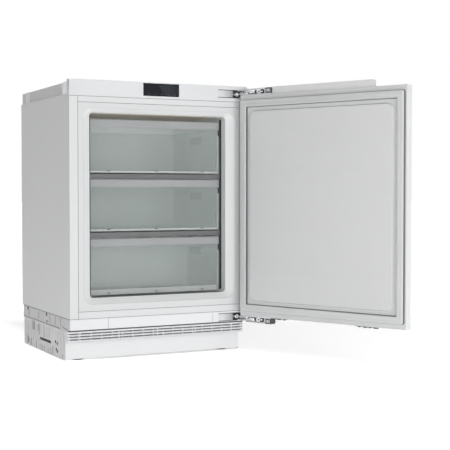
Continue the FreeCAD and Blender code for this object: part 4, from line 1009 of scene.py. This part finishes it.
# screws: a domed head with a cross-shaped pit; sizes are shares of its radius and height
headLook = {"segments": 24, "arm": 0.62, "armHalf": 0.17, "dome": 0.82, "shoulder": 0.45, "pit": 0.35}


def addScrew(bm, centre, axis, face, outward, radius, height, turn=0.3):
    arm, wide = radius * headLook["arm"], radius * headLook["armHalf"]
    cross = []
    for k in range(4):
        c, s = math.cos(turn + math.pi / 2 * k), math.sin(turn + math.pi / 2 * k)
        cross += [(u * c - v * s, u * s + v * c) for u, v in ((wide, -wide), (arm, -wide), (arm, wide))]

    def loop(outline, share):
        return addLoop(bm, centre, axis, face + outward * height * share, outline)

    rim = circle(radius, headLook["segments"])
    base, shoulder = loop(rim, 0), loop(rim, headLook["shoulder"])
    dome = loop(circle(radius * headLook["dome"], headLook["segments"]), 1)
    joinRings(bm, [base, shoulder, dome], False)
    bm.faces.new(base[::-1])
    lip, pit = loop(cross, 1), loop(cross, headLook["pit"])
    joinRings(bm, [lip, pit], False)
    bm.faces.new(pit)
    edges = [bm.edges.get((ring[i - 1], ring[i])) for ring in (dome, lip) for i in range(len(ring))]
    bmesh.ops.bridge_loops(bm, edges=edges)


screwLook = {"arm": ((213.0, 830.0), (237.0, 830.0)), "armFace": 4.0, "radius": 4.0, "height": 1.8,
             "door": ((207.0, -36.7), (207.0, -22.7)), "doorFace": 826.5}
bm = bmesh.new()
for x, z in screwLook["arm"]:
    addScrew(bm, (x, 0, z), 'Y', screwLook["armFace"], -1, screwLook["radius"], screwLook["height"])
mirrorHinge(bm)
putPiece("hingeScrews", bm, hingeSteel, "cabinet", stands=("hinge_screws",))
bm = bmesh.new()
for x, y in screwLook["door"]:
    addScrew(bm, (x, y, 0), 'Z', screwLook["doorFace"], 1, screwLook["radius"], screwLook["height"])
mirrorHinge(bm)
putPiece("doorHingeScrews", bm, hingeSteel, "door", stands=("door_hinge_screws",),
         turn=doorOpen)
print("screws cut")


# levelling feet: knurled pad, nut and threaded stud
footLook = {"pad": 20.0, "padHigh": 6.0, "lobes": 28, "lobeDeep": 0.5, "lobeSteps": 4,
            "edges": ((1.6, 0.0), (0.0, 1.4), (0.0, 4.4), (1.8, 6.0)), "nut": 9.0, "nutHigh": 5.0,
            "stud": 5.0, "studEnd": 3.8, "pitch": 1.75, "depth": 0.55}


def makeFoot(name, look):
    low, high = nodeBox(name)
    centre = ((low.x + high.x) / 2, (low.y + high.y) / 2, 0)
    bm = bmesh.new()
    count = look["lobes"] * look["lobeSteps"]
    rings = []
    for shrink, rise in look["edges"]:
        outline = []
        for i in range(count):
            t = 2 * math.pi * i / count
            r = look["pad"] - shrink + look["lobeDeep"] * (math.cos(look["lobes"] * t) - 1)
            outline.append((r * math.cos(t), r * math.sin(t)))
        rings.append(addLoop(bm, centre, 'Z', low.z + rise, outline))
    joinRings(bm, rings, True)
    z = low.z + look["padHigh"]
    addLathe(bm, centre, 'Z', ((look["nut"], z), (look["nut"], z + look["nutHigh"])), segments=6)
    z += look["nutHigh"]
    profile = []
    while z + look["pitch"] < high.z:
        profile += [(look["stud"] - look["depth"], z), (look["stud"], z + look["pitch"] / 2)]
        z += look["pitch"]
    profile.append((look["studEnd"], high.z))
    addLathe(bm, centre, 'Z', profile, segments=18)
    pieceName = name[0] + name.title().replace("_", "")[1:]
    putPiece(pieceName, bm, footPlastic, name, stands=(name,))


for name in ("foot_front_left", "foot_front_right", "foot_rear_left", "foot_rear_right"):
    makeFoot(name, footLook)
print("feet turned")


# hinges on the cabinet: slot covers, knuckles and washers; the lower set mirrors the upper
slotLook = {"cover": (197.2, 249.5, 818.9, 841.1), "corner": 2.0, "face": 0.9, "thick": 1.2,
            "clips": ((200.2, 203.2, 1.9, 4.0, 823.0, 837.0), (243.5, 246.5, 1.9, 4.0, 823.0, 837.0))}
# the first two bars are dark lines along the slot's top and bottom edges: painted shade
knuckleLook = {"bars": ((198.0, 264.0, 0.2, 3.4, 841.3, 842.9), (198.0, 264.0, 0.2, 3.4, 817.1, 818.7),
                        (249.0, 272.5, -1.0, 4.0, 818.5, 821.7), (249.0, 251.2, 0.5, 4.0, 818.5, 841.5),
                        (254.0, 267.5, 0.5, 4.0, 838.9, 841.5), (271.5, 285.5, -6.8, 3.9, 822.0, 839.5)),
               "knobs": ((253.5, 836.5, 4.4), (254.5, 823.5, 3.2), (264.0, 836.0, 3.0)),
               "knobRear": 4.0, "knobFront": -4.0, "knobRound": 0.5, "knobTop": 0.8,
               "backing": (251.0, 267.5, 2.5, 4.0, 821.5, 839.1)}
washerLook = {"knuckle": (261.0, 0, 828.5), "knuckleSize": (6.2, 3.2, -4.5, 3.0),
              "disc": (276.5, 0, 830.5), "discSize": (6.6, 3.6, -10.0, -6.6),
              "stud": ((2.2, -6.8), (2.2, -9.4), (1.4, -10.0))}


def makeHinges(slot, knuckle, washer):
    bm = bmesh.new()
    outline = roundedRect(*slot["cover"], slot["corner"])
    addPrism(bm, outline, 'Y', slot["face"], slot["face"] + slot["thick"])
    for clip in slot["clips"]:
        addBox(bm, *clip)
    mirrorHinge(bm)
    putPiece("hingeSlotCovers", bm, slotPlate, "cabinet", bevel=0.3)

    bm = bmesh.new()
    for bar in knuckle["bars"]:
        addBox(bm, *bar)
    for x, z, r in knuckle["knobs"]:
        profile = ((r, knuckle["knobRear"]), (r, knuckle["knobFront"]),
                   (r * knuckle["knobTop"], knuckle["knobFront"] - knuckle["knobRound"]))
        addLathe(bm, (x, 0, z), 'Y', profile, segments=20)
    mirrorHinge(bm)
    putPiece("hingeKnuckles", bm, hingeDarkAndPaintedShade, "cabinet", bevel=0.4)

    bm = bmesh.new()
    addBox(bm, *knuckle["backing"])
    mirrorHinge(bm)
    putPiece("hingeBackings", bm, hingeSteel, "cabinet", bevel=0.4)

    bm = bmesh.new()
    addWasher(bm, washer["knuckle"], 'Y', *washer["knuckleSize"])
    addWasher(bm, washer["disc"], 'Y', *washer["discSize"])
    addLathe(bm, washer["disc"], 'Y', washer["stud"], segments=18)
    mirrorHinge(bm)
    putPiece("hingeWashers", bm, hingeBright, "cabinet", bevel=0.4)


makeHinges(slotLook, knuckleLook, washerLook)


# levers on the door, measured along it from the hinge pin: (from, to, proud, low, high)
leverLook = {"pin": 285.5, "face": -22.7, "middle": 833.6,
             # the under plate is painted shade below the bright bar, and the clasp paints the shade of a
             # recess
             "under": ((13.5, 46.0, 1.2, 826.7, 830.4),),
             "clasp": ((58.0, 71.0, 1.4, 827.0, 831.4), (58.0, 71.0, 1.4, 835.8, 840.2),
                       (67.0, 71.0, 1.4, 827.0, 840.2)),
             "bright": ((58.5, 66.5, 0.9, 832.0, 835.2), (20.5, 34.0, 0.8, 831.2, 838.4)),
             "jaw": 41.2, "jawOuter": (5.6, 6.4), "jawInner": (2.0, 4.4), "jawProud": 2.2, "jawSteps": 12,
             "ring": 52.0, "ringSize": (5.2, 2.9), "ringProud": 1.6, "plug": 2.6, "plugProud": 1.0}
capLook = {"screw": 94.0, "level": 835.5, "face": -13.0, "radius": 4.6, "height": 1.2, "turn": 0.5,
           "strips": (87.0, 101.0), "stripHalf": 1.0, "stripFace": (-13.2, -12.5),
           "stripSpan": (829.0, 842.0)}


def makeLevers(lever, cap):
    pin, face, middle = lever["pin"], lever["face"], lever["middle"]
    ringCentre = (pin - lever["ring"], 0, middle)

    def addPlates(bm, plates):
        for start, end, proud, z0, z1 in plates:
            addBox(bm, pin - end, pin - start, face, face + proud, z0, z1)

    bm = bmesh.new()
    addPlates(bm, lever["under"])
    jaw = []
    steps = lever["jawSteps"]
    for (wide, tall), start, turn in ((lever["jawOuter"], 90, 180), (lever["jawInner"], 270, -180)):
        for k in range(steps + 1):
            t = math.radians(start + turn * k / steps)
            jaw.append((pin - lever["jaw"] - wide * math.cos(t), middle + tall * math.sin(t)))
    addPrism(bm, jaw, 'Y', face, face + lever["jawProud"])
    addPlates(bm, lever["clasp"])
    plug = ((lever["plug"], face), (lever["plug"], face + lever["plugProud"]))
    addLathe(bm, ringCentre, 'Y', plug, segments=20)
    mirrorHinge(bm)
    putPiece("leverJaws", bm, hingeDarkAndPaintedShade, "door", bevel=0.3, turn=doorOpen)

    bm = bmesh.new()
    addWasher(bm, ringCentre, 'Y', *lever["ringSize"], face, face + lever["ringProud"])
    addPlates(bm, lever["bright"])
    mirrorHinge(bm)
    putPiece("leverPlates", bm, hingeBright, "door", bevel=0.3, turn=doorOpen)

    bm = bmesh.new()
    addScrew(bm, (pin - cap["screw"], 0, cap["level"]), 'Y', cap["face"], 1, cap["radius"], cap["height"],
             cap["turn"])
    for s in cap["strips"]:
        x = pin - s
        addBox(bm, x - cap["stripHalf"], x + cap["stripHalf"], *cap["stripFace"], *cap["stripSpan"])
    mirrorHinge(bm)
    putPiece("capScrews", bm, zincSheet, "door", turn=doorOpen)


makeLevers(leverLook, capLook)

# lugs on the brackets below the door
lugLook = {"places": ((-200.0, -185.0), (-177.0, -168.0), (-163.0, -149.0), (-141.0, -131.0),
                      (131.0, 141.0), (149.0, 163.0), (168.0, 177.0)), "front": -30.0, "rear": -21.5,
           "low": 115.6, "top": 118.6, "slope": (0.6, 0.8), "foot": 1.8,
           "strip": (-204.0, -176.5, -41.0, -21.0, 118.5, 121.0)}
bm = bmesh.new()
inset, rise = lugLook["slope"]
for x0, x1 in lugLook["places"]:
    z0, z1 = lugLook["low"], lugLook["top"]
    section = [(x0, z1), (x0 + inset, z0 + rise), (x0 + lugLook["foot"], z0),
               (x1 - lugLook["foot"], z0), (x1 - inset, z0 + rise), (x1, z1)]
    addPrism(bm, section, 'Y', lugLook["front"], lugLook["rear"])
addBox(bm, *lugLook["strip"])
putPiece("bracketLugs", bm, darkSteel, "door", bevel=0.2, turn=doorOpen)

# plugs in the spare holes of the door's outer face; the profile is (share of the radius, off the face)
plugLook = {"places": ((-262.0, 190.0), (262.0, 190.0), (-262.0, 470.0), (262.0, 470.0), (-262.0, 750.0),
                       (262.0, 750.0), (-90.0, 156.0), (90.0, 156.0)), "face": -41.0, "radius": 5.5,
            "profile": ((1.0, 0.3), (1.0, -0.5), (0.8, -0.9), (0.45, -0.9), (0.4, -0.5))}
bm = bmesh.new()
for x, z in plugLook["places"]:
    profile = [(plugLook["radius"] * share, plugLook["face"] + off) for share, off in plugLook["profile"]]
    addLathe(bm, (x, 0, z), 'Y', profile, segments=28)
putPiece("doorPlugs", bm, coverPlastic, "door", turn=doorOpen)
print("hinges and door plugs dressed")


# base: joints, holes, ribs, lugs and creases on both sides; strips are (y, low, high)
baseLook = {"face": -297.0, "sink": 0.2,
            "joints": ((1.0, 3.5, 499.0, 132.3, 133.9), (0.6, 100.0, 492.0, 95.6, 97.0)),
            "slant": ((76.0, 105.5), (24.5, 99.0), (24.5, 97.4), (76.0, 103.9)), "slantProud": 0.6,
            "holes": ((446.0, 126.0, 5.4), (239.0, 126.0, 5.4), (234.0, 104.6, 3.4), (147.0, 50.0, 4.2),
                      (130.0, 46.0, 3.4), (138.0, 27.0, 4.6), (128.0, 21.0, 4.0)),
            "holeProfile": ((0.0, 0.3), (0.0, -1.15), (-0.8, -1.3)),
            "slots": ((377.0, 62.0, 91.0), (440.0, 12.0, 30.0), (330.0, 62.0, 84.0)), "slotWide": 3.2,
            "slotProud": 1.2}
ribLook = {"ribs": (62.0, 115.0, 140.0, 166.0, 200.0, 275.0, 324.0, 372.0, 422.0, 470.0), "wide": 3.5,
           "span": (99.0, 131.5), "proud": 0.9, "sink": 0.3, "lugIn": 0.2, "lugDeep": 14.0, "lugFront": -0.5,
           "lugRear": 2.6, "panLugs": ((12.0, 18.0), (28.0, 36.0), (50.0, 58.0), (72.0, 80.0)),
           "panRear": 492.0, "carrierLugs": ((100.0, 108.0),), "carrierRear": 500.0}
creaseLook = {"wide": 3.2, "proud": 1.1,
              "places": ((434.0, 103.0, 122.0), (331.0, 101.0, 124.0), (205.0, 104.0, 130.0),
                         (150.0, 102.0, 128.0), (96.0, 104.0, 130.0), (395.0, 60.0, 92.0),
                         (318.0, 52.0, 88.0), (268.0, 50.0, 90.0), (452.0, 8.0, 40.0),
                         (410.0, 6.0, 30.0), (352.0, 5.0, 26.0), (300.0, 4.5, 24.0),
                         (284.0, 4.5, 20.0), (262.0, 4.5, 24.0), (224.0, 4.5, 18.0),
                         (196.0, 4.5, 26.0), (176.0, 4.5, 32.0), (76.0, 8.0, 20.0))}


def makeBase(look, rib, crease):
    face = look["face"]

    def addStrips(bm, strips, wide, proud, sink):
        for y, z0, z1 in strips:
            addBox(bm, face - proud, face + sink, y - wide / 2, y + wide / 2, z0, z1)

    # dark joints, and dark discs and slots standing for holes, painted with the shade inside them
    bm = bmesh.new()
    for proud, y0, y1, z0, z1 in look["joints"]:
        addBox(bm, face - proud, face + look["sink"], y0, y1, z0, z1)
    addPrism(bm, look["slant"], 'X', face - look["slantProud"], face + look["sink"])
    for y, z, r in look["holes"]:
        profile = [(r + wider, face + off) for wider, off in look["holeProfile"]]
        addLathe(bm, (0, y, z), 'X', profile, segments=18)
    addStrips(bm, look["slots"], look["slotWide"], look["slotProud"], look["sink"])
    mirrorX(bm)
    putPiece("baseJoints", bm, seamsAndPaintedShade, "cabinet")

    bm = bmesh.new()
    addStrips(bm, [(y, *rib["span"]) for y in rib["ribs"]], rib["wide"], rib["proud"], rib["sink"])
    for lugs, y in ((rib["panLugs"], rib["panRear"]), (rib["carrierLugs"], rib["carrierRear"])):
        for z0, z1 in lugs:
            addBox(bm, face + rib["lugIn"], face + rib["lugDeep"], y + rib["lugFront"], y + rib["lugRear"],
                   z0, z1)
    mirrorX(bm)
    putPiece("carrierRibs", bm, coverPlastic, "cabinet", bevel=0.5)

    # pressed creases in a darker sheet: painted shade along them
    bm = bmesh.new()
    addStrips(bm, crease["places"], crease["wide"], crease["proud"], look["sink"])
    mirrorX(bm)
    putPiece("baseCreases", bm, creasePaintedShade, "cabinet", bevel=0.4)


makeBase(baseLook, ribLook, creaseLook)


# machine space: condenser wires, compressor fittings, hood, socket pins
wireLook = {"from": -26.0, "to": 218.0, "pitch": 8.0, "front": 74.0, "rear": 300.0, "level": 45.0, "off": 4.4,
            "radius": 0.75, "turn": 45}
bm = bmesh.new()
x = wireLook["from"]
while x < wireLook["to"]:
    for side in (-1, 1):
        profile = [(wireLook["radius"], wireLook[end]) for end in ("front", "rear")]
        addLathe(bm, (x, 0, wireLook["level"] + side * wireLook["off"]), 'Y', profile, segments=6,
                 start=math.radians(wireLook["turn"]))
    x += wireLook["pitch"]
putPiece("condenserWires", bm, blackEnamel, "cabinet")

potLook = {"centre": (-130.0, 426.0, 0), "radius": 62.0, "seamLow": 94.5, "seamHigh": 3.0, "seamOff": 0.6,
           "seamProud": 1.2, "seamSteps": 8, "lid": ((16.0, 190.5), (15.0, 193.0), (13.0, 193.7))}
terminalLook = {"half": 24.0, "low": 56.5, "high": 100.5, "corner": 5.0, "front": 15.0, "rear": 8.0,
                "louvres": 4, "louvreHalf": 16.0, "louvreLow": 64.5, "louvrePitch": 9.0, "louvreHigh": 2.0,
                "louvreProud": 0.8, "sink": 0.2}
boltLook = {"places": ((-210.0, 385.0), (-210.0, 467.0), (-50.0, 385.0), (-50.0, 467.0)),
            "nut": ((5.0, 27.0), (5.0, 31.5)), "stud": ((2.6, 31.4), (2.6, 35.0), (2.0, 35.8))}


def makePot(pot, terminal, bolt):
    cx, cy = pot["centre"][:2]
    bm = bmesh.new()
    shares = [k / pot["seamSteps"] for k in range(pot["seamSteps"] + 1)]
    seam = [(pot["radius"] + pot["seamOff"] + pot["seamProud"] * math.sin(math.pi * share),
             pot["seamLow"] + pot["seamHigh"] * share) for share in shares]
    addLathe(bm, pot["centre"], 'Z', seam, segments=64)
    addLathe(bm, pot["centre"], 'Z', pot["lid"], segments=32)
    putPiece("compressorSeam", bm, blackEnamel, "cabinet", smooth=60)

    bm = bmesh.new()
    wall = cx - pot["radius"]
    front = wall - terminal["front"]
    outline = roundedRect(cy - terminal["half"], cy + terminal["half"], terminal["low"], terminal["high"],
                          terminal["corner"])
    addPrism(bm, outline, 'X', front, wall + terminal["rear"])
    for k in range(terminal["louvres"]):
        z = terminal["louvreLow"] + terminal["louvrePitch"] * k
        addBox(bm, front - terminal["louvreProud"], front + terminal["sink"], cy - terminal["louvreHalf"],
               cy + terminal["louvreHalf"], z, z + terminal["louvreHigh"])
    putPiece("terminalCover", bm, housingPlastic, "cabinet", bevel=1.0)

    bm = bmesh.new()
    for x, y in bolt["places"]:
        addLathe(bm, (x, y, 0), 'Z', bolt["nut"], segments=6)
        addLathe(bm, (x, y, 0), 'Z', bolt["stud"], segments=16)
    putPiece("mountBolts", bm, zincSheet, "cabinet", bevel=0.3)


makePot(potLook, terminalLook, boltLook)

# strips that close the foam between the top cover and the side panels
sealLook = {"inner": 293.9, "outer": 297.7, "low": 811.7, "top": 812.5, "front": 24.2, "rear": 508.0}
bm = bmesh.new()
addPair(bm, *(sealLook[k] for k in ("inner", "outer", "front", "rear", "low", "top")))
putPiece("coverSeals", bm, coverPlastic, "cabinet", bevel=0.15)

# pressed hood that closes the foam over the machine space
hoodLook = {"half": 296.4, "front": 362.0, "rear": 507.6, "low": 134.4, "top": 322.0, "sheet": 0.6,
            "bend": 5.0, "bendMiddle": 1.5, "beads": (-255.0, -190.0, -60.0, 60.0, 125.0, 190.0, 255.0),
            "wide": 9.0, "layers": ((0.0, -0.2), (0.0, 0.2), (2.0, 1.2)), "margin": 16.0}


def makeHood(look):
    bm = bmesh.new()
    y0, y1, z0, z1 = look["front"], look["rear"], look["low"], look["top"]
    face, roof = y0 + look["sheet"], z1 - look["sheet"]
    section = [(y0, z0), (face, z0), (face, roof - look["bend"]),
               (face + look["bendMiddle"], roof - look["bendMiddle"]), (face + look["bend"], roof),
               (y1, roof), (y1, z1), (y0, z1)]
    addPrism(bm, section, 'X', -look["half"], look["half"])
    addBeads(bm, 'Y', face, z0 + look["margin"], z1 - look["margin"], look, steps=5)
    putPiece("machineHood", bm, hoodPlastic, "cabinet", smooth=45)


makeHood(hoodLook)

pinLook = {"places": ((180.0, 40.0), (200.0, 40.0), (190.0, 33.0)), "wide": 2.0, "tall": 5.0,
           "from": 494.8, "to": 503.5}
bm = bmesh.new()
for x, z in pinLook["places"]:
    w, h = pinLook["wide"] / 2, pinLook["tall"] / 2
    addBox(bm, x - w, x + w, pinLook["from"], pinLook["to"], z - h, z + h)
putPiece("socketPins", bm, hingeBright, "cabinet", bevel=0.3)
print("machine fitted")


# back panel beads, top cover ribs and the compartment's ceiling plate
backLook = {"face": 509.0, "low": 350.0, "high": 785.0, "beads": (-230.0, -138.0, -46.0, 46.0, 138.0, 230.0),
            "wide": 14.0, "layers": ((0.0, -0.3), (0.0, 0.3), (2.0, 1.3), (4.0, 1.6))}
bm = bmesh.new()
addBeads(bm, 'Y', backLook["face"], backLook["low"], backLook["high"], backLook)
putPiece("backBeads", bm, zincSheet, "cabinet", smooth=50)

topLook = {"level": 848.0, "front": 84.0, "rear": 488.0, "beads": (-220.0, -132.0, -44.0, 44.0, 132.0, 220.0),
           "wide": 9.0, "layers": ((0.0, -0.4), (0.0, 0.5), (1.6, 1.4), (3.0, 1.6))}
bm = bmesh.new()
addBeads(bm, 'Z', topLook["level"], topLook["front"], topLook["rear"], topLook)
putPiece("coverRibs", bm, coverPlastic, "cabinet", smooth=50)

# the ceiling plate carries the painted warm bounce light
ceilingLook = {"level": 757.6, "half": 214.0, "front": 34.0, "rear": 424.0, "thick": 0.9, "corner": 12.0}
bm = bmesh.new()
outline = roundedRect(-ceilingLook["half"], ceilingLook["half"], ceilingLook["front"], ceilingLook["rear"],
                      ceilingLook["corner"])
addPrism(bm, outline, 'Z', ceilingLook["level"] - ceilingLook["thick"], ceilingLook["level"])
putPiece("ceilingPlate", bm, ceilingWarmPaintedLight, "cabinet", bevel=0.3)
print("back, top and ceiling fitted")


# light, backdrop and floor; a lamp is its watts, place, width and height
lightSetup = {"diffuse": 0.31, "aim": (0.1, 0.0, 0.42),
              "lamps": {"key": (42.2, (0.1, -3.4, 0.52), 2.4, 1.008),
                        "fill": (3.6, (-1.6, -3.2, 1.0), 1.2, 0.96),
                        "floor": (46.0, (-0.5, -1.9, 2.8), 2.6, 2.08),
                        "back": (62.0, (1.8, 2.0, 2.8), 2.2, 1.76)}}
floorSetup = {"size": 40, "level": -0.0004, "color": (0.94, 0.94, 0.94), "shade": (0.92, 0.92, 0.92),
              "patch": 3.0, "drift": 0.5, "rough": 0.9, "glow": 0.46, "glowFar": (1.0, 1.6, 1.0),
              "paintedLightLeft": (-0.14, -0.36, 0.95)}


def makeWorld(setup):
    # the world lights the object softly, and is white where it is seen
    world = bpy.data.worlds.new("studio")
    scene.world = world
    world.use_nodes = True
    tree = world.node_tree
    rays = tree.nodes.new('ShaderNodeLightPath').outputs
    seen = addMath(tree, 'MAXIMUM', rays['Is Camera Ray'],
                   addMath(tree, 'MAXIMUM', rays['Is Glossy Ray'], rays['Is Transmission Ray']))
    color = addMix(tree, seen, rgba([setup["diffuse"]] * 3), (1, 1, 1, 1))
    tree.links.new(color, tree.nodes["Background"].inputs['Color'])


def makeLamps(setup, floor):
    lamps = {}
    for name, (watts, place, wide, tall) in setup["lamps"].items():
        lamp = bpy.data.lights.new(name + "Light", 'AREA')
        lamp.energy = watts
        lamp.shape = 'RECTANGLE'
        lamp.size = wide
        lamp.size_y = tall
        lit = bpy.data.objects.new(name + "Light", lamp)
        lit.location = place
        lit.rotation_euler = (Vector(setup["aim"]) - lit.location).to_track_quat('-Z', 'Y').to_euler()
        lit.visible_glossy = False
        scene.collection.objects.link(lit)
        lamps[name] = lit
    # the floor lamp lights the floor alone, and the back lamp lights all but the floor
    ground = bpy.data.collections.new("groundOnly")
    ground.objects.link(floor)
    freezer = bpy.data.collections.new("freezerOnly")
    for piece in scene.objects:
        if piece.type == 'MESH' and piece != floor:
            freezer.objects.link(piece)
    lamps["floor"].light_linking.receiver_collection = ground
    lamps["back"].light_linking.receiver_collection = freezer


def makeFloor(setup):
    bm = bmesh.new()
    bmesh.ops.create_grid(bm, x_segments=1, y_segments=1, size=setup["size"])
    mesh = bpy.data.meshes.new("floor")
    bm.to_mesh(mesh)
    bm.free()
    floor = bpy.data.objects.new("floor", mesh)
    floor.location = (0, 0, setup["level"])
    scene.collection.objects.link(floor)
    material, tree, shader = newMaterial("paleFloor")
    tone = placeDrift(tree, setup)
    feed(tree, shader, {'Base Color': tone.outputs["Color"], 'Roughness': setup["rough"],
                        'Specular IOR Level': 0.0})
    # the floor is white where it is seen, and plainer near the freezer, so that the shadow stays; on the left
    # a stronger glow paints light over the shadow there
    far = tree.nodes.new('ShaderNodeVectorMath')
    far.operation = 'LENGTH'
    tree.links.new(objectPlace(tree), far.inputs[0])
    start, end, level = setup["glowFar"]
    farGlow = addRange(tree, far.outputs['Value'], start, end, setup["glow"], level)
    start, end, level = setup["paintedLightLeft"]
    leftPaintedLight = addRange(tree, splitPlace(tree)['X'], start, end, setup["glow"], level)
    rays = tree.nodes.new('ShaderNodeLightPath').outputs
    seen = addMath(tree, 'MAXIMUM', rays['Is Camera Ray'], rays['Is Glossy Ray'])
    glow = addMath(tree, 'MULTIPLY', addMath(tree, 'MAXIMUM', farGlow, leftPaintedLight), seen)
    feed(tree, shader, {'Emission Color': (1, 1, 1, 1), 'Emission Strength': glow})
    mesh.materials.append(material)
    return floor


makeWorld(lightSetup)
makeLamps(lightSetup, makeFloor(floorSetup))
print("stage set")
